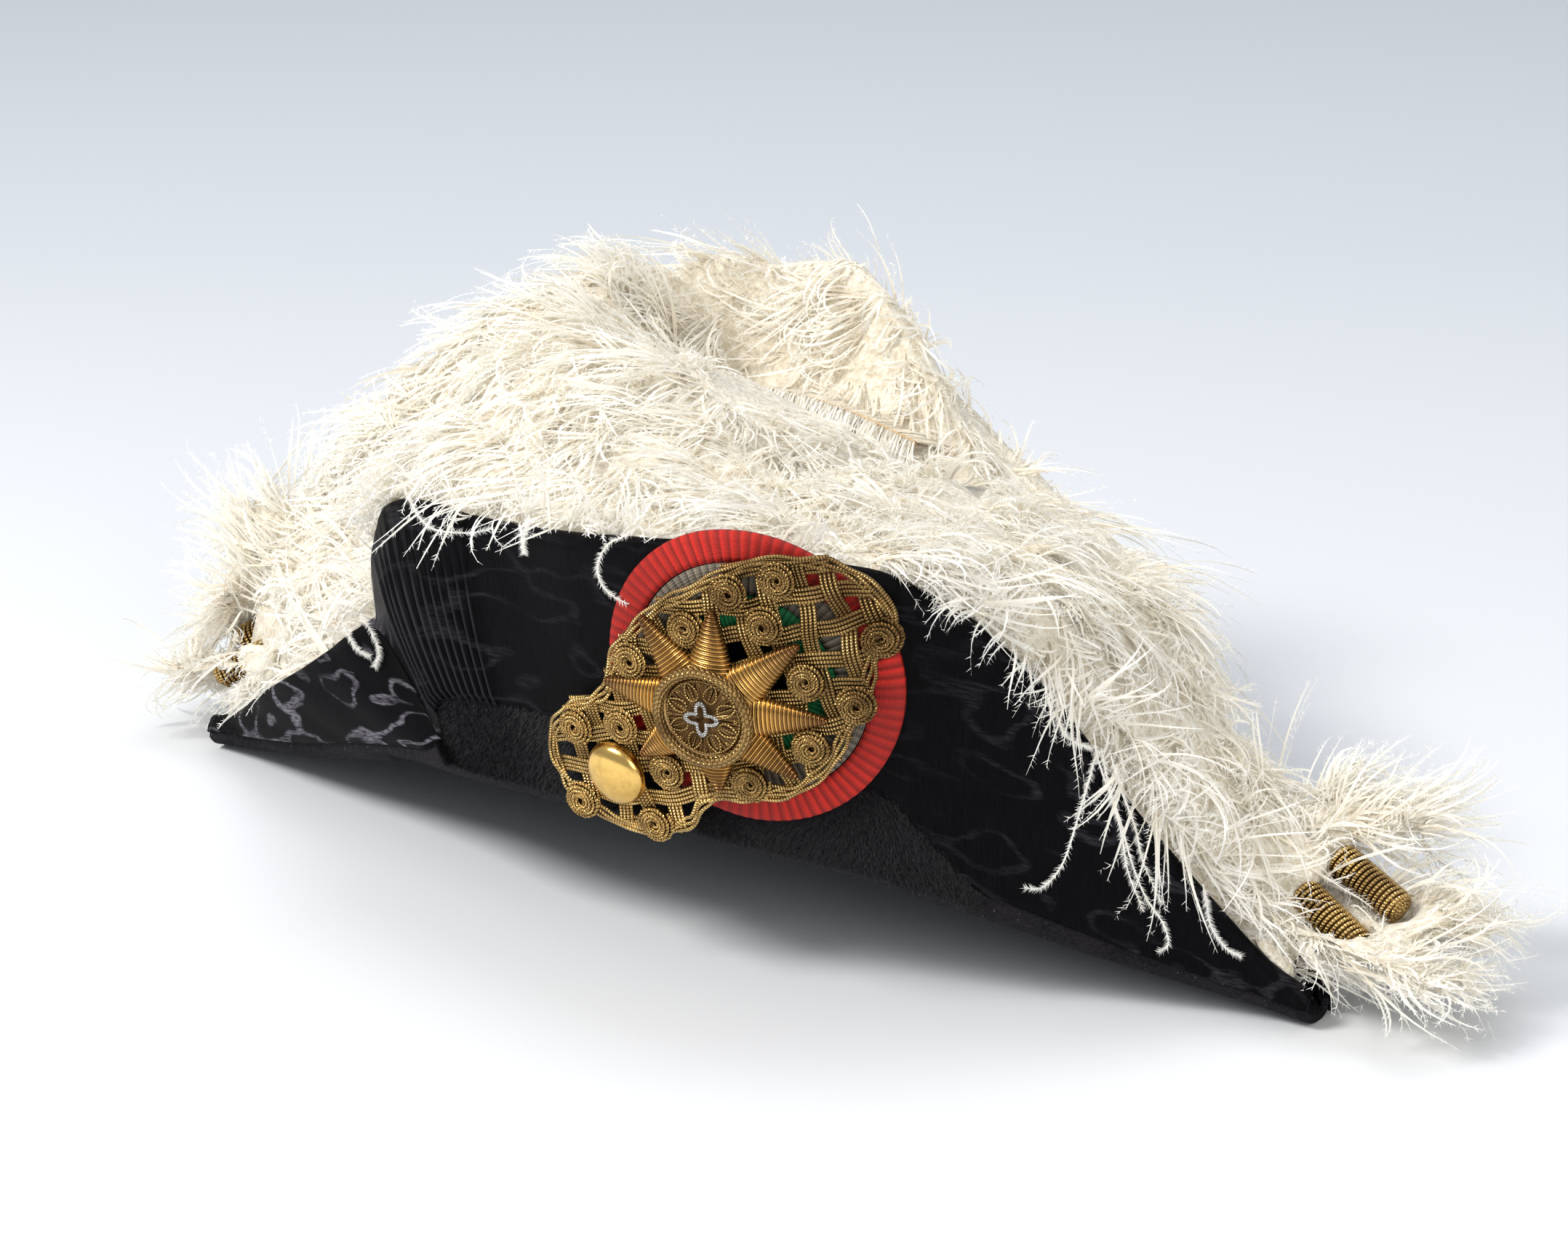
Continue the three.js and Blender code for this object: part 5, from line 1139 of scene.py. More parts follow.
def make_boss():
    """Disc with eight leaf petals and a ring of small loops in raised wire."""
    heap = Heap()
    radius = STAR_RING_RADIUS - STAR_RING_WIRE - CLEARANCE
    high = BOSS_HEIGHT
    around = full_turn(96)
    rings = []
    for share, rise in BOSS_PROFILE:
        petal = 0.10 * np.cos(8 * around) if 0.6 < share < 0.99 else 0.0
        rings.append((share * radius, STAR_TOP + high * (rise + petal)))
    heap.add(turned(STAR_A, STAR_B, rings, 96), grid_quads(len(rings), 96, True), None,
             np.tile(pile(around * 6, 0.0, 0.0), (len(rings), 1)), 0.12)
    t = np.linspace(0, 2 * np.pi, 36, endpoint=False)
    for k in range(8):
        turn = 2 * np.pi * (k + 0.5) / 8
        leaf_out = 0.46 * radius + 0.5 * 0.50 * radius * (1 - np.cos(t))
        leaf_wide = 0.155 * radius * np.sin(t) * (1 + 0.35 * np.cos(t))
        path = pile(leaf_out * np.cos(turn) - leaf_wide * np.sin(turn),
                    leaf_out * np.sin(turn) + leaf_wide * np.cos(turn))
        heap.add(*tube(flat_path(path, STAR_TOP + 0.74 * high), 0.30, 6, closed=True), 0.85)
        vein = np.linspace(0.52, 0.88, 8)[:, None] * radius * np.array([[math.cos(turn), math.sin(turn)]])
        heap.add(*tube(flat_path(vein, STAR_TOP + 0.70 * high), 0.22, 5), 0.7)
        middle = np.array([math.cos(turn + math.pi / 8), math.sin(turn + math.pi / 8)]) * 0.87 * radius
        bead = middle + 0.42 * pile(np.cos(t[::3]), np.sin(t[::3]))
        heap.add(*tube(flat_path(bead, STAR_TOP + 0.70 * high), 0.24, 5, closed=True), 0.8)
    rim = 0.96 * radius * pile(np.cos(around), np.sin(around))
    heap.add(*tube(flat_path(rim, STAR_TOP + 0.56 * high), 0.34, 6, closed=True), 0.7)
    heap.piece("gold_boss", "gold_cord", "star_boss", place=laid)


make_boss()


def make_knot():
    """Plain knot of four loops, in two silver wires."""
    heap = Heap()
    t = full_turn(120)
    radius = 5.0 * (0.72 + 0.28 * np.cos(4 * t))
    level = STAR_TOP + 0.8 * BOSS_HEIGHT + CLEARANCE + 0.6
    for offset in (-0.33, 0.33):
        loop = pile((radius + offset) * np.cos(t), (radius + offset) * np.sin(t))
        heap.add(*tube(flat_path(loop, level), 0.36, 8, closed=True), 0.9)
    heap.piece("silver_knot", "silver_wire", "star_knot", place=laid)


make_knot()

BUTTON_A, BUTTON_B = -0.97 * COCKADE_RADIUS, -0.77 * COCKADE_RADIUS


def make_button():
    """Plain domed button on a low foot."""
    heap = Heap()
    t = np.linspace(0, 1, 22)
    share = np.cos(0.5 * np.pi * t)
    rise = BUTTON_RISE * (0.30 + 0.70 * np.sin(0.5 * np.pi * t))
    profile = [(0.86, 0.0), (0.97, 0.15), (1.0, 0.7), (1.0, 1.1), (0.985, 1.45)]
    profile += list(zip(np.maximum(0.965 * share, 0.004), rise))
    rings = [(share * BUTTON_RADIUS, ROSETTE_LEVEL + z) for share, z in profile]
    lay = turned(0.0, 0.0, [(r, 0.0) for r, _ in rings], 72)
    heap.add(turned(BUTTON_A, BUTTON_B, rings, 72), grid_quads(len(rings), 72, True), None, lay)
    heap.piece("gilt_button", "gold_bright", "button", place=laid)


make_button()


# Bullion rolls at the tips
def spot(x, y, z):
    """Place from shares of the hat's half length, the rim's width and the back flap's height."""
    return np.array([x * HALF, y * RIM_WIDTH_BACK, z * BACK_HEIGHT])


BULLIONS = {
    "bullion_left_1": (spot(-0.905, -0.02, 0.26), spot(-0.995, -0.05, 0.17)),
    "bullion_left_2": (spot(-0.914, 0.12, 0.345), spot(-1.000, 0.08, 0.255)),
    "bullion_right_1": (spot(0.933, 0.03, 0.268), spot(1.043, 0.00, 0.180)),
    "bullion_right_2": (spot(0.952, 0.18, 0.345), spot(1.067, 0.16, 0.262)),
}
BULLION_AXES = list(BULLIONS.values())
WINDING_PITCH, WINDING_WIRE, END_COIL_TURNS = 1.75, 0.62, 3.6


def make_bullion(name, start, end):
    """Roll wound with gilt wire, and flat coils over its ends."""
    heap = Heap()
    axis = end - start
    length = np.linalg.norm(axis)
    axis = axis / length
    side = unit(np.cross(axis, [0, 0, 1.0]))
    up = np.cross(side, axis)

    def round_axis(place, radius, angle):
        """Points round the roll's axis, and their directions out of it."""
        out = side * np.cos(angle)[:, None] + up * np.sin(angle)[:, None]
        return start + axis * np.asarray(place)[..., None] + out * np.asarray(radius)[..., None], out

    turns = length / WINDING_PITCH
    t = np.linspace(0.03, 0.97, int(turns * 18))
    radius = (BULLION_RADIUS - WINDING_WIRE) * np.interp(t, [0, 0.10, 0.9, 1], [0.84, 1, 1, 0.84])
    path, out = round_axis(length * t, radius, 2 * np.pi * turns * t)
    heap.add(*tube(path, 0.66, 6, up=out), 0.95)
    for place, way in ((0.0, 1), (1.0, -1)):
        s = np.linspace(0, 1, 120)
        dome = 0.25 + 1.1 * s ** 2
        radius = 0.5 + (0.80 * BULLION_RADIUS - 0.4) * s
        coil, _ = round_axis(length * place + way * dome, radius, 2 * np.pi * END_COIL_TURNS * s)
        heap.add(*tube(coil, 0.60, 6, up=axis), 0.6)
    # Core under the winding, at a tone that makes it nearly the dark colour: painted shade between the turns.
    rows = [(0.02, 0.6), (0.05, 0.80), (0.95, 0.80), (0.98, 0.6)]
    core = np.concatenate([round_axis(length * k, BULLION_RADIUS * r, full_turn(24))[0] for k, r in rows])
    caps = np.array([[0, k, k + 1] for k in range(1, 23)])
    heap.add(core, grid_quads(4, 24, True), np.concatenate([caps, caps[:, ::-1] + 72]), None, 0.05)
    heap.piece(f"roll_{name}", "gold_cord", name)


for bullion_name, (bullion_start, bullion_end) in BULLIONS.items():
    make_bullion(bullion_name, bullion_start, bullion_end)

# Feathers
CORE_VOXEL, CORE_DRAWN_IN = 0.0034, 0.0022
PLUMES = ["plume_left", "plume_right", "plume_front", "plume_back"]


def mesh_arrays(obj):
    """World points and triangles of a mesh object."""
    mesh = obj.data
    mesh.calc_loop_triangles()
    co = np.empty(3 * len(mesh.vertices), np.float32)
    mesh.vertices.foreach_get("co", co)
    tri = np.empty(3 * len(mesh.loop_triangles), np.int32)
    mesh.loop_triangles.foreach_get("vertices", tri)
    world = np.array(obj.matrix_world)
    points = co.reshape(-1, 3) @ world[:3, :3].T + world[:3, 3]
    return points.astype(float), tri.reshape(-1, 3)


def tree_of(objects):
    """Search tree of all the objects' triangles."""
    points, tris, count = [], [], 0
    for obj in objects:
        p, t = mesh_arrays(obj)
        points.append(p)
        tris.append(t + count)
        count += len(p)
    points, tris = np.concatenate(points), np.concatenate(tris)
    return BVHTree.FromPolygons(points.tolist(), tris.tolist(), epsilon=0.0)


def make_core(name):
    """The plume's CAD form, smoothed and drawn in, as the dense down under the barbs, coloured darker than
    them as painted shade in the gaps.
    """
    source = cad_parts[name]
    obj = bpy.data.objects.new(f"down_{name}", source.data.copy())
    bpy.context.scene.collection.objects.link(obj)
    remesh = obj.modifiers.new("remesh", "REMESH")
    remesh.mode = "VOXEL"
    remesh.voxel_size = CORE_VOXEL
    smooth = obj.modifiers.new("smooth", "SMOOTH")
    smooth.iterations = 6
    shrink = obj.modifiers.new("shrink", "DISPLACE")
    shrink.mid_level = 0.0
    shrink.strength = -CORE_DRAWN_IN
    depsgraph = bpy.context.evaluated_depsgraph_get()
    mesh = bpy.data.meshes.new_from_object(obj.evaluated_get(depsgraph))
    bpy.data.objects.remove(obj)
    mesh.name = f"down_{name}"
    mesh.polygons.foreach_set("use_smooth", np.full(len(mesh.polygons), True))
    return new_piece(f"down_{name}", mesh, MATERIALS["down"], "feather", name)


cores = {name: make_core(name) for name in ("plume_left", "plume_right")}
solid_tree = tree_of([body_obj, silk_front, silk_back])
felt_tree = tree_of([body_obj])

# Quill: place along the hat, how far back as a share of the flap's edge, and rise over it in shares of
# the plumes' rise
SHAFT = np.array([
    (-0.34, 0.788, -0.298), (-0.22, 0.699, -0.412), (-0.10, 0.659, -0.399), (0.02, 0.645, -0.196)])
PLUME_RISE = 38.0

# Height of the feathers over the back flap, along the hat
RIDGE = np.array([
    (-1.00, 62), (-0.90, 95), (-0.76, 148), (-0.57, 178), (-0.38, 192), (-0.19, 193), (-0.095, 184),
    (0.00, 166), (0.095, 145), (0.19, 133), (0.286, 128), (0.38, 121), (0.48, 114), (0.57, 104), (0.67, 86),
    (0.76, 73), (0.86, 63), (0.95, 55), (1.00, 50)])
ridge_height = curve(RIDGE[:, 0], RIDGE[:, 1])
# Way in which the feathers lie, along the hat
FLOW_S = np.array([-1.2, -0.95, -0.7, -0.5, -0.3, -0.1, 0.1, 0.3, 0.5, 0.7, 0.9, 1.2])
FLOW_X = np.array([-1.0, -1.0, -0.85, -0.60, -0.30, 0.00, 0.30, 0.50, 0.65, 0.80, 1.0, 1.0])
FLOW_Y = np.array([-0.1, -0.15, -0.50, -0.80, -0.95, -1.0, -0.95, -0.85, -0.75, -0.60, -0.25, -0.1])


def quill_line(s):
    """Height and depth of the quill along the hat."""
    edge = back_flap(s, np.ones(len(s)))
    depth = np.interp(s, SHAFT[:, 0], SHAFT[:, 1]) * edge[:, 1]
    return depth, edge[:, 2] + np.interp(s, SHAFT[:, 0], SHAFT[:, 2]) * PLUME_RISE


def open_curve(knots, count):
    """Smooth lines through knots, which run along the last axis but one."""
    before = 2 * knots[..., :1, :] - knots[..., 1:2, :]
    after = 2 * knots[..., -1:, :] - knots[..., -2:-1, :]
    padded = np.concatenate([before, knots, after], axis=-2)
    t = np.linspace(0, knots.shape[-2] - 1.0001, count)
    i = t.astype(int)
    u = (t - i)[:, None]
    return round_line(*(padded[..., i + k, :] for k in range(4)), u)


def quill_path(count):
    """Points along the quill."""
    depth, high = quill_line(SHAFT[:, 0])
    return open_curve(pile(SHAFT[:, 0] * HALF, depth, high), count)


def noise3(points, scale, seed):
    """Smooth noise from a few waves, about -1 to 1."""
    rng = np.random.default_rng(seed)
    total = np.zeros(len(points))
    for _ in range(6):
        way = rng.normal(0, 1, 3)
        way = way / np.linalg.norm(way) * rng.uniform(0.6, 1.5) * 2 * np.pi / scale
        total += np.sin(points @ way + rng.uniform(0, 2 * np.pi))
    return total / 3.0


CANOPY_ROWS, CANOPY_COLS, DOWN_THICK = 150, 40, 5.0


def make_canopy():
    """Surface of the down from the front flap's edge, up over the crown and the back flap's edge."""
    s = np.linspace(-0.95, 0.955, CANOPY_ROWS)
    front = front_flap(s, np.ones_like(s))
    back = back_flap(s, np.ones_like(s))
    # the front flap's edge is drawn sideways by its turned-up ear, so it is read again along x
    order = np.argsort(front[:, 0])
    edge_y = np.interp(s * HALF, front[order, 0], front[order, 1])
    edge_z = np.interp(s * HALF, front[order, 0], front[order, 2])
    high = ridge_height(s)
    ridge_y = 0.80 * back[:, 1]
    x = s * HALF
    span = ridge_y - edge_y
    # the feathers part round the quill, with a valley before it
    valley = np.interp(s, [-0.46, -0.35, 0.06, 0.17], [0, 1, 1, 0])
    quill_y, quill_z = quill_line(s)
    mid_y = (1 - valley) * (edge_y + 0.82 * span) + valley * quill_y
    mid_z = (1 - valley) * (edge_z + 0.93 * (high - edge_z)) + valley * (quill_z - 4.0)
    knots = [
        pile(x, edge_y + 6, edge_z - 4), pile(x, edge_y + 4.5, edge_z + 2.5),
        pile(x, edge_y + 0.16 * span, edge_z + 0.20 * (high - edge_z) + 6),
        pile(x, edge_y + 0.50 * span, edge_z + 0.62 * (high - edge_z) + 5 - 5 * valley),
        pile(x, mid_y, mid_z),
        pile(x, ridge_y, high - 4),
        pile(x, 0.5 * (ridge_y + back[:, 1]) + 3, np.maximum(high - 8, back[:, 2] + 5)),
        pile(x, back[:, 1] + 4.5, back[:, 2] + 3), pile(x, back[:, 1] + 5.5, back[:, 2] - 9)]
    grid = open_curve(np.stack(knots, 1), CANOPY_COLS)
    flat = grid.reshape(-1, 3)
    # lumps of down, calm round the quill and settled at the front edge
    from_quill = np.linalg.norm(flat[:, None] - quill_path(12)[None], axis=-1).min(1)
    calm = 1 - 0.85 * np.exp(-(from_quill / 14.0) ** 2)
    broad, fine = noise3(flat * np.array([1, 1, 0.4]), 46.0, 21), noise3(flat, 17.0, 22)
    lumps = calm * 3.4 * broad + calm * (1.6 * fine - 2.0)
    settled = np.clip((np.arange(CANOPY_COLS) - 1) / 5, 0, 1)[None, :, None]
    grid = grid + settled * lumps.reshape(CANOPY_ROWS, CANOPY_COLS, 1) * np.array([0, -0.25, 0.8])
    out = unit(np.cross(np.gradient(grid, axis=1), np.gradient(grid, axis=0)))
    out *= np.sign(np.sum(out * np.array([0, -0.2, 1.0]), axis=-1, keepdims=True) + 1e-9)
    return grid, out


# Gap under the quill, painted near black on the down as painted shadow, in the hat's own frame
GAP = np.array([17.6, 80.0, 128.0])
canopy, canopy_out = make_canopy()
edge_line = front_flap(np.linspace(-0.99, 0.99, 200), np.ones(200))
edge_line = edge_line[np.argsort(edge_line[:, 0])]
EDGE_X, EDGE_Y = edge_line[:, 0], edge_line[:, 1]


def first_seen(place):
    """The point of the canopy that the camera sees in front of a place."""
    seen = unit(HAT_EYE - place)
    away = canopy - place
    beside = np.linalg.norm(away - (away @ seen)[..., None] * seen, axis=-1)
    return canopy[np.unravel_index(np.argmin(beside), beside.shape)]


GAP_SEEN = first_seen(GAP)


def make_canopy_down():
    """Dense down under the barbs, one closed sheet, coloured darker than them as painted shade in the gaps.
    """
    points, quads = slab(canopy, canopy - canopy_out * DOWN_THICK)
    away = np.linalg.norm(points - GAP_SEEN, axis=1)
    # Tone rises towards the gap under the quill, which the down's material paints near black as painted
    # shadow.
    tone = np.clip(1.35 - away / 8.5, 0, 1)
    mesh = new_mesh("down_canopy", lean(points), quads, tone=tone)
    face_out(mesh)
    new_piece("down_canopy", mesh, MATERIALS["down"], "feather", "plume_front", "plume_back")


make_canopy_down()


def scatter_on_grid(grid, out, count):
    """Even random places over a grid of points, by its area."""
    a, b, d = grid[:-1, :-1], grid[1:, :-1], grid[:-1, 1:]
    area = np.linalg.norm(np.cross(b - a, d - a), axis=-1)
    pick = RNG.choice(area.size, count, p=(area / area.sum()).ravel())
    i, j = np.unravel_index(pick, area.shape)
    u, v = RNG.random((count, 1)), RNG.random((count, 1))
    spots = (grid[i, j] * (1 - u) * (1 - v) + grid[i + 1, j] * u * (1 - v)
             + grid[i, j + 1] * (1 - u) * v + grid[i + 1, j + 1] * u * v)
    return spots, out[i, j]


def scatter_on_plumes(count):
    """Even random places over the smoothed plumes."""
    places, normals, parts = [], [], []
    for core in cores.values():
        p, t = mesh_arrays(core)
        p = unlean(p)
        a, b, c = p[t[:, 0]], p[t[:, 1]], p[t[:, 2]]
        cross = np.cross(b - a, c - a)
        parts.append((a, b, c, cross, 0.5 * np.linalg.norm(cross, axis=1)))
    whole = sum(part[-1].sum() for part in parts)
    for a, b, c, cross, area in parts:
        n = int(count * area.sum() / whole)
        pick = RNG.choice(len(a), n, p=area / area.sum())
        u, v = RNG.random(n), RNG.random(n)
        flip = u + v > 1
        u[flip], v[flip] = 1 - u[flip], 1 - v[flip]
        places.append(a[pick] + u[:, None] * (b - a)[pick] + v[:, None] * (c - a)[pick])
        normals.append(unit(cross[pick]))
    return np.concatenate(places), np.concatenate(normals)


def open_to_air(points, normals, reach=9.0):
    """Which points have nothing of the hat's felt close over them."""
    free = np.ones(len(points), bool)
    start, way = lean(points + normals * 0.5), lean(points + normals) - lean(points)
    for i in range(len(points)):
        hit = felt_tree.ray_cast(Vector(start[i]), Vector(way[i]), reach / 1000)
        free[i] = hit[0] is None
    return free


def in_tufts(places, normals, per, spread):
    """Several roots round each place, and which tuft each belongs to."""
    tuft = np.repeat(np.arange(len(places)), per)
    places, normals = places[tuft], normals[tuft]
    stray = RNG.normal(0, spread, places.shape)
    stray -= normals * np.sum(stray * normals, axis=1, keepdims=True)
    return places + stray, normals, tuft


def grow(places, normals, tuft, length, segments, lift, curl, wander):
    """Paths of barbs that rise off the surface, follow the flow and curl over with their tuft."""
    n, tufts = len(places), tuft.max() + 1

    def mixed(spread, own):
        return spread * RNG.normal(0, 1, tufts)[tuft] + own * RNG.normal(0, 1, n)

    s = places[:, 0] / HALF
    flow = np.stack([np.interp(s, FLOW_S, FLOW_X), np.interp(s, FLOW_S, FLOW_Y), np.zeros(n)], -1)
    edge = back_flap(np.clip(s, -0.99, 0.99), np.ones(n))
    behind = np.clip((places[:, 1] - edge[:, 1] + 16) / 14, 0, 1)[:, None]
    rear = np.stack([0.5 * flow[:, 0], np.full(n, 0.8), np.full(n, 0.1)], -1)
    flow = flow * (1 - behind) + rear * behind
    brow = np.interp(places[:, 0], EDGE_X, EDGE_Y)
    flow[:, 1] *= 1 - 0.7 * np.clip(1 - (places[:, 1] - brow) / 20, 0, 1)
    angle = 0.65 * noise3(places, 52.0, 11) + 0.35 * noise3(places, 17.0, 12) + mixed(wander, 0.14)
    flow -= normals * np.sum(flow * normals, axis=1, keepdims=True)
    flow = unit(flow)
    side = np.cross(normals, flow)
    way = unit(flow * np.cos(angle)[:, None] + side * np.sin(angle)[:, None])
    raised = lift * np.clip(1 + mixed(0.42, 0.16), 0.25, 2.2)
    way = unit(way + normals * raised[:, None])
    bend = curl * mixed(0.9, 0.28)
    droop = np.clip(0.85 + mixed(0.25, 0.12), 0.3, 1.5) * (0.35 + lift)
    path = [places - normals * 1.5]
    step = (length / segments)[:, None]
    for k in range(segments):
        t = (k + 1) / segments
        path.append(path[-1] + way * step)
        turn = np.cross(normals, way)
        wave = 0.5 * np.sin(7 * t + 0.9 * tuft)
        way = way + turn * ((bend * (0.25 + 1.6 * t * t) + wave) / segments)[:, None]
        way = way - normals * (droop * (0.35 + 1.4 * t) / segments)[:, None]
        way[:, 2] -= 0.12 / segments
        way = unit(way)
    return np.stack(path, 1)


def clear_strands(paths):
    """Which barbs cross neither felt nor silk."""
    rooted = lean(paths)
    keep = np.ones(len(paths), bool)
    marks = [1, rooted.shape[1] // 2, rooted.shape[1] - 1]
    for i in range(len(paths)):
        for a, b in zip(marks, marks[1:]):
            start, end = Vector(rooted[i, a]), Vector(rooted[i, b])
            way = end - start
            if solid_tree.ray_cast(start, way, way.length)[0] is not None:
                keep[i] = False
                break
    return keep


def ribbons(heap, paths, normals, width, tone_root, tone_tip, twist=0.0):
    """Flat tapering ribbons along paths (N, K, 3)."""
    n, k = paths.shape[:2]
    tangent = unit(np.gradient(paths, axis=1))
    side = unit(np.cross(tangent, normals[:, None]))
    up = np.cross(side, tangent)
    angle = RNG.uniform(-0.9, 0.9, n)[:, None] + twist * np.linspace(-1, 1, k)[None]
    across = side * np.cos(angle)[..., None] + up * np.sin(angle)[..., None]
    t = np.linspace(0, 1, k)
    taper = np.interp(t, [0, 0.15, 0.7, 1], [0.7, 1.0, 0.85, 0.2])
    half = 0.5 * width[:, None] * taper[None]
    left, right = paths - across * half[..., None], paths + across * half[..., None]
    points = np.stack([left, right], 2).reshape(-1, 3)
    base = (np.arange(n) * 2 * k)[:, None] + 2 * np.arange(k - 1)[None]
    quads = np.stack([base, base + 1, base + 3, base + 2], -1).reshape(-1, 4)
    # Tone runs from root to tip; the feather material paints the roots darker as painted shade.
    tone = tone_root[:, None] + (tone_tip - tone_root)[:, None] * t[None]
    heap.add(points, quads, None, None, np.repeat(tone[..., None], 2, -1).ravel())


def fringe(heap, paths, normals, per, reach, tone, thick=0.13):
    """Short fine barbules all round the barbs, one thin triangle each."""
    n, k = paths.shape[:2]
    place = np.sort(RNG.uniform(0.06, 0.99, (n, per)), axis=1) * (k - 1)
    i = np.minimum(place.astype(int), k - 2)
    u = (place - i)[..., None]
    rows = np.arange(n)[:, None]
    root = paths[rows, i] * (1 - u) + paths[rows, i + 1] * u
    tangent = unit(paths[rows, i + 1] - paths[rows, i])
    side = unit(np.cross(tangent, normals[:, None] + 0 * tangent))
    up = np.cross(side, tangent)
    angle = RNG.uniform(0, 2 * np.pi, (n, per))[..., None]
    way = unit(side * np.cos(angle) + up * np.sin(angle) * 0.8 + tangent * 0.8)
    length = RNG.uniform(0.55, 1.0, (n, per, 1)) * reach
    tip = root + way * length
    thin = unit(np.cross(way, up + 0.3)) * thick
    points, tris = blades(*(p.reshape(-1, 3) for p in (root - thin, root + thin, tip)))
    # Barbules lighter further out along the barb: the same painted shade towards the roots.
    tint = np.clip(tone[:, None] + 0.35 * place / (k - 1), 0, 1).ravel()
    heap.add(points, None, tris, None, np.concatenate([tint, tint, np.minimum(tint + 0.2, 1)]))


# Barbs: how far they may pass the solids' box and how low they may come, in metres, and how near they
# may come to the axis of a roll, the shortest ones without their roots, in millimetres
PAST_BOX, LOWEST_BARB = 0.009, 0.0006
LIMIT_LOW, LIMIT_HIGH = np.array(BOX[0]) - PAST_BOX, np.array(BOX[1]) + PAST_BOX
ROLL_MARGIN, ROLL_ROOT_MARGIN = 6.4, 5.5


def off_bullions(paths, margin):
    """Which barbs pass no nearer than the margin to the axes of the rolls at the tips."""
    keep = np.ones(len(paths), bool)
    for start, end in BULLION_AXES:
        axis = end - start
        t = np.clip(((paths - start) @ axis) / (axis @ axis), 0, 1.15)
        away = np.linalg.norm(paths - start - t[..., None] * axis, axis=-1)
        keep &= (away > margin).all(-1)
    return keep


def off_ornaments(paths):
    """Which barbs pass neither over the ornaments nor between them and the camera."""
    keep = np.ones(len(paths), bool)
    away = paths - cockade_spot
    a, b, c = away @ AXIS_ALONG, away @ AXIS_UP, away @ AXIS_OUT
    seen = unit(HAT_EYE - cockade_spot)
    for slope in (0.0, 1.0):
        shift = slope * c / (seen @ AXIS_OUT)
        u, v = a - shift * (seen @ AXIS_ALONG), b - shift * (seen @ AXIS_UP)
        over = np.hypot(u, v) < COCKADE_RADIUS + 0.5
        over |= margin_inside(CORD_OUTLINE, u, v) > -4.0
        keep &= ~(over & (c > -4.5)).any(-1)
    return keep


# Places that the camera sees between the barbs: along the rolls and the quill, and the dark gap
SEEN = [(start + (end - start) * share, 3.8) for start, end in BULLION_AXES for share in (0.5, 0.8, 1.0)]
SEEN += [(place, 3.6) for place in quill_path(26)] + [(GAP_SEEN, 6.0)]


def out_of_the_way(paths):
    """Which barbs don't pass between the camera and what it sees between them."""
    keep = np.ones(len(paths), bool)
    for place, margin in SEEN:
        seen = unit(HAT_EYE - place)
        away = paths - place
        depth = away @ seen
        beside = np.linalg.norm(away - depth[..., None] * seen, axis=-1)
        keep &= ~((depth > 0) & (beside < margin)).any(-1)
    return keep


def within(paths, short):
    """Which barbs stay where they may be. Short ones may root by the rolls and stand before what is seen."""
    p = lean(paths)
    inside = ((p > LIMIT_LOW) & (p < LIMIT_HIGH)).all((-1, -2))
    inside &= (p[..., 2] > LOWEST_BARB).all(-1)
    inside &= off_ornaments(paths)
    if short:
        return inside & off_bullions(paths[:, 1:], ROLL_ROOT_MARGIN)
    return inside & off_bullions(paths, ROLL_MARGIN) & out_of_the_way(paths)


def scatter_on_brow(count):
    """Roots along the front flap's edge, where the down would show bare."""
    places, normals = scatter_on_grid(canopy[:, :11], canopy_out[:, :11], count)
    keep = open_to_air(places, normals)
    return places[keep], normals[keep]


def scatter_on_bare(edge_count, tip_count):
    """Roots along the front flap's edge and round the rolls, where the down would show bare."""
    a, a_out = scatter_on_grid(canopy[:, :8], canopy_out[:, :8], edge_count)
    b, b_out = scatter_on_plumes(tip_count)
    away = np.full(len(b), 99.0)
    for start, end in BULLION_AXES:
        for place in (start, 0.5 * (start + end), end):
            away = np.minimum(away, np.linalg.norm(b - place, axis=1))
    b, b_out = b[away < 22.0], b_out[away < 22.0]
    places, normals = np.concatenate([a, b]), np.concatenate([a_out, b_out])
    keep = open_to_air(places, normals, 2.0)
    return places[keep], normals[keep]


def scatter(canopy_count, plume_count):
    """Roots of barbs on the canopy, and on the parts of the plumes that stand out of it."""
    a, a_out = scatter_on_grid(canopy, canopy_out, canopy_count)
    b, b_out = scatter_on_plumes(plume_count)
    outside = (np.abs(b[:, 0]) > 0.80 * HALF) | (b_out[:, 2] > -0.1)
    b, b_out = b[outside], b_out[outside]
    places, normals = np.concatenate([a, b]), np.concatenate([a_out, b_out])
    order = RNG.permutation(len(places))
    places, normals = places[order], normals[order]
    keep = open_to_air(places, normals)
    keep &= np.linalg.norm(places - GAP_SEEN, axis=1) > 8.0
    return places[keep], normals[keep]


# Kinds of barbs: how many in a tuft and how far apart, length in millimetres, segments, how they rise,
# curl and wander, width of the shaft, and barbules on each
BARBS = {
    "rope": dict(per=7, spread=2.4, length=(22, 44), segments=8, lift=0.34, curl=1.0, wander=0.20,
                 width=(0.6, 1.05), barbules=25, reach=2.5),
    "curl": dict(per=6, spread=1.8, length=(13, 26), segments=8, lift=0.85, curl=2.7, wander=0.55,
                 width=(0.55, 1.0), barbules=22, reach=2.2),
    "brow": dict(per=3, spread=1.4, length=(9, 18), segments=5, lift=0.42, curl=0.7, wander=0.30,
                 width=(0.7, 1.1), barbules=14, reach=2.0),
    "fuzz": dict(per=4, spread=1.8, length=(7, 15), segments=4, lift=0.55, curl=1.8, wander=0.60,
                 width=(0.5, 0.9), barbules=7, reach=1.6),
    "down": dict(per=3, spread=1.0, length=(3.0, 6.5), segments=3, lift=1.0, curl=1.2, wander=0.8,
                 width=(0.5, 0.8), barbules=4, reach=1.8),
}


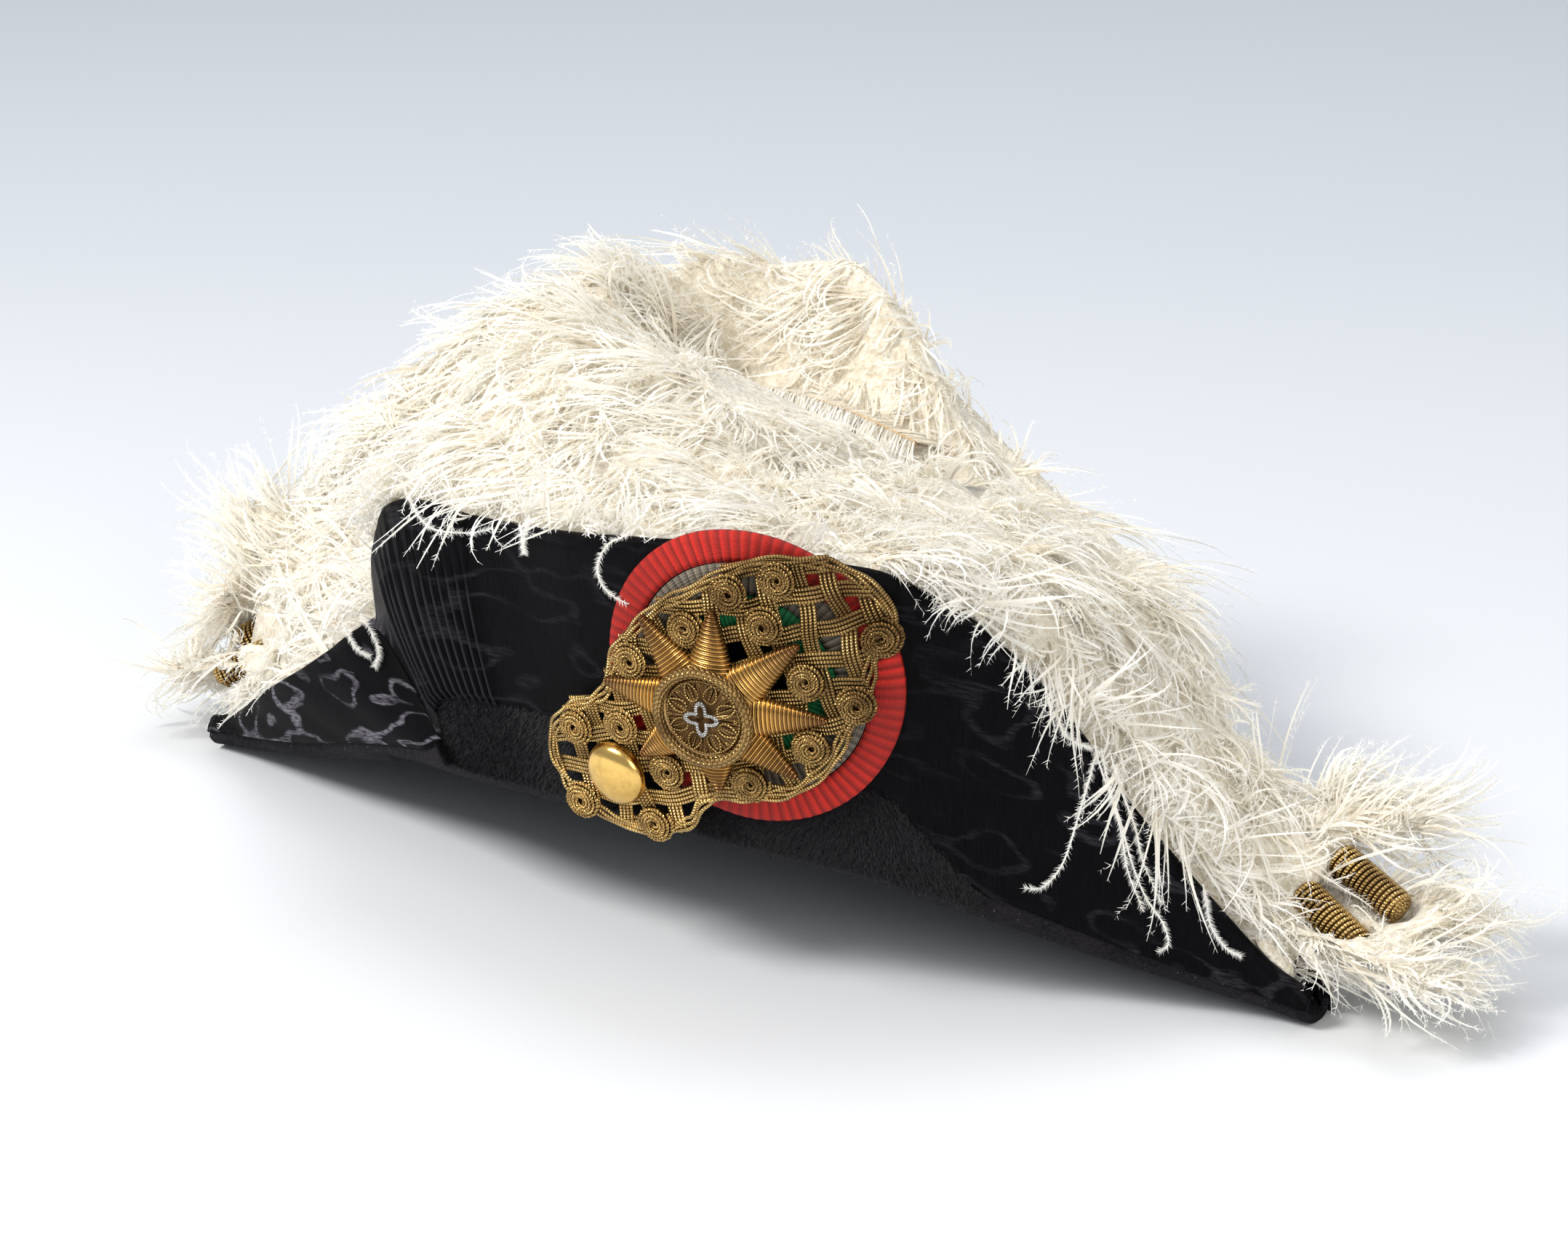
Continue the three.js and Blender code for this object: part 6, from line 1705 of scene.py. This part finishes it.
def add_feathers(name, kind, canopy_count, plume_count, parts, *nodes):
    """Barbs of one kind over the down, shared out between some pieces."""
    barb = BARBS[kind]
    per = barb["per"]
    if kind == "brow":
        places, normals = scatter_on_brow(canopy_count // per)
    elif kind == "down":
        places, normals = scatter_on_bare(canopy_count // per, plume_count // per)
    else:
        places, normals = scatter(canopy_count // per, plume_count // per)
    places, normals, tuft = in_tufts(places, normals, per, barb["spread"])
    n = len(places)
    length = RNG.uniform(*barb["length"], tuft.max() + 1)[tuft] * RNG.uniform(0.8, 1.15, n)
    paths = grow(places, normals, tuft, length, barb["segments"], barb["lift"], barb["curl"], barb["wander"])
    good = within(paths, kind == "down")
    good[good] = clear_strands(paths[good])
    paths, normals = paths[good], normals[good]
    for part in range(parts):
        heap = Heap()
        p, q = paths[part::parts], normals[part::parts]
        n = len(p)
        # shade is the roots' tone: painted shade deep in the plumage.
        shade = RNG.uniform(0.15, 0.5, n)
        ribbons(heap, p, q, RNG.uniform(*barb["width"], n), shade, RNG.uniform(0.8, 1.0, n), 0.8)
        fringe(heap, p, q, barb["barbules"], barb["reach"], shade + 0.3, 0.14)
        heap.piece(f"{name}_{part + 1}", "feather", *nodes)


add_feathers("barbs_long", "rope", 7400, 2200, 4, *PLUMES)
add_feathers("barbs_curled", "curl", 3600, 1400, 2, *PLUMES)
add_feathers("barbs_fine", "fuzz", 3000, 2600, 1, *PLUMES)
add_feathers("barbs_brow", "brow", 2300, 0, 1, "plume_front")
add_feathers("barbs_down", "down", 1900, 3900, 1, *PLUMES)

# Quill: points along it, its radius at both ends, and the barbs on each side of it, with their steps
QUILL_POINTS, QUILL_RADIUS = 70, (0.9, 1.12)
COMBED, COMBED_STEPS = 620, 8


def make_quill():
    """Bare quill, with barbs combed off both its sides."""
    path = quill_path(QUILL_POINTS)
    heap = Heap()
    heap.add(*tube(path, np.linspace(*QUILL_RADIUS, QUILL_POINTS), 12))
    heap.piece("feather_quill", "quill", "feather_shaft")
    heap = Heap()
    tangent = unit(np.gradient(path, axis=0))
    lift = np.array([0, 0, 1.0])
    for sign, rise in ((-1, 0.22), (1, 0.12)):
        n = COMBED
        t = np.sort(RNG.uniform(0, 1, n)) * (QUILL_POINTS - 1.1)
        i = t.astype(int)
        root = path[i] + (path[i + 1] - path[i]) * (t - i)[:, None]
        along = tangent[i]
        out = unit(np.cross(along, lift)) * sign
        way = unit(out + along * 0.55 + lift * rise + RNG.normal(0, 0.05, (n, 3)))
        length = RNG.uniform(20, 30, n)
        rows = [root + lift * 0.6]
        for k in range(COMBED_STEPS):
            rows.append(rows[-1] + way * (length / COMBED_STEPS)[:, None])
            way = unit(way - 0.085 * lift * (1 + 0.16 * k) + RNG.normal(0, 0.03, (n, 3)))
        paths = np.stack(rows, 1)
        paths = paths[clear_strands(paths)]
        n = len(paths)
        up = np.tile(lift, (n, 1))
        width = RNG.uniform(0.35, 0.6, n)
        ribbons(heap, paths, up, width, RNG.uniform(0.25, 0.4, n), RNG.uniform(0.8, 1, n), 0.4)
        fringe(heap, paths, up, 14, 1.1, np.full(n, 0.6))
    heap.piece("combed_barbs", "feather")


make_quill()

# Loose barbs that hang over the front flap: places along the hat and up the flap, as shares
WISPS = [
    [(-0.165, 1.06), (-0.159, 1.01), (-0.151, 0.95), (-0.136, 0.93), (-0.104, 0.96), (-0.073, 1.00)],
    [(-0.020, 1.08), (-0.026, 1.04), (-0.033, 0.99), (-0.033, 0.93)],
    [(0.150, 1.08), (0.128, 1.04), (0.100, 1.00), (0.084, 0.92), (0.092, 0.84), (0.128, 0.80)],
    [(-0.300, 1.06), (-0.302, 0.90), (-0.316, 0.76), (-0.345, 0.68)],
    [(-0.371, 1.10), (-0.371, 0.98), (-0.371, 0.86), (-0.344, 0.76)],
    [(0.662, 1.11), (0.656, 1.00), (0.664, 0.94), (0.681, 0.96), (0.701, 1.04)],
    [(0.715, 1.12), (0.705, 1.03), (0.698, 0.85), (0.690, 0.66), (0.674, 0.38), (0.650, 0.22),
     (0.626, 0.17)],
    [(0.700, 1.12), (0.709, 1.01), (0.736, 0.88), (0.755, 0.70), (0.775, 0.54), (0.798, 0.44),
     (0.805, 0.28), (0.793, 0.18)],
    [(0.722, 1.14), (0.735, 1.05), (0.756, 0.93), (0.768, 0.77), (0.795, 0.58)],
    [(0.710, 1.10), (0.722, 0.97), (0.741, 0.80), (0.752, 0.62), (0.774, 0.42)],
    [(0.838, 1.12), (0.845, 0.95), (0.854, 0.76), (0.874, 0.66), (0.892, 0.72)]]
WISP_OUT = 2.6


def make_wisps():
    """Loose barbs, each one ribbon with its barbules."""
    heap = Heap()
    for rows in WISPS:
        s, h = np.array(rows).T
        out = FLAP_FACE + WISP_OUT + 0.5 * np.sin(3.0 * np.arange(len(s)))
        knots = front_flap(s, h) + flap_normal(front_flap, s, np.clip(h, 0.02, 0.97)) * out[:, None]
        path = open_curve(knots, 30)[None]
        up = AXIS_OUT[None]
        ribbons(heap, path, up, np.array([0.6]), np.array([0.7]), np.array([1.0]))
        fringe(heap, path, up, 430, 2.4, np.array([0.8]), 0.09)
    heap.piece("loose_barbs", "feather")


make_wisps()

# Floor, light and camera
bpy.ops.mesh.primitive_plane_add(size=8.0, location=(0, 0, 0))
floor = bpy.context.object
floor.name = "floor"
floor.data.materials.append(floor_material())

scene = bpy.context.scene
world = scene.world or bpy.data.worlds.new("world")
scene.world = world
world.use_nodes = True
sky = world.node_tree.nodes["Background"].inputs
sky["Color"].default_value = (0.86, 0.90, 0.96, 1)
sky["Strength"].default_value = 0.46


def area_light(name, place, aim, size, power, color):
    """Soft light at a place, turned to what it aims at."""
    data = bpy.data.lights.new(name, "AREA")
    data.shape = "RECTANGLE"
    data.size, data.size_y = size
    data.energy = power
    data.color = color
    obj = bpy.data.objects.new(name, data)
    scene.collection.objects.link(obj)
    obj.location = place
    obj.rotation_euler = (Vector(aim) - Vector(place)).to_track_quat("-Z", "Y").to_euler()


area_light("key", (-0.75, -1.25, 1.55), (0, 0, 0.06), (0.7, 0.6), 38, (1.0, 0.98, 0.95))
area_light("fill", (1.7, -1.2, 1.0), (0, 0, 0.05), (1.2, 1.0), 15, (1.0, 0.985, 0.96))
area_light("top", (0.1, 0.8, 2.2), (0, 0, 0.05), (1.6, 1.2), 19, (0.97, 0.98, 1.0))

lens = bpy.data.cameras.new("camera")
lens.lens = CAMERA_LENS
lens.sensor_width = CAMERA_SENSOR
lens.sensor_fit = "HORIZONTAL"
camera = bpy.data.objects.new("camera", lens)
scene.collection.objects.link(camera)
axes = Matrix([REST_TURN @ way for way in (CAMERA_RIGHT, CAMERA_UP, CAMERA_BACK)]).transposed().to_4x4()
camera.matrix_world = Matrix.Translation(EYE / 1000) @ axes
scene.camera = camera
scene.render.resolution_x, scene.render.resolution_y = 2156, 1728
scene.view_settings.view_transform = "Standard"
scene.view_settings.exposure = 0.0
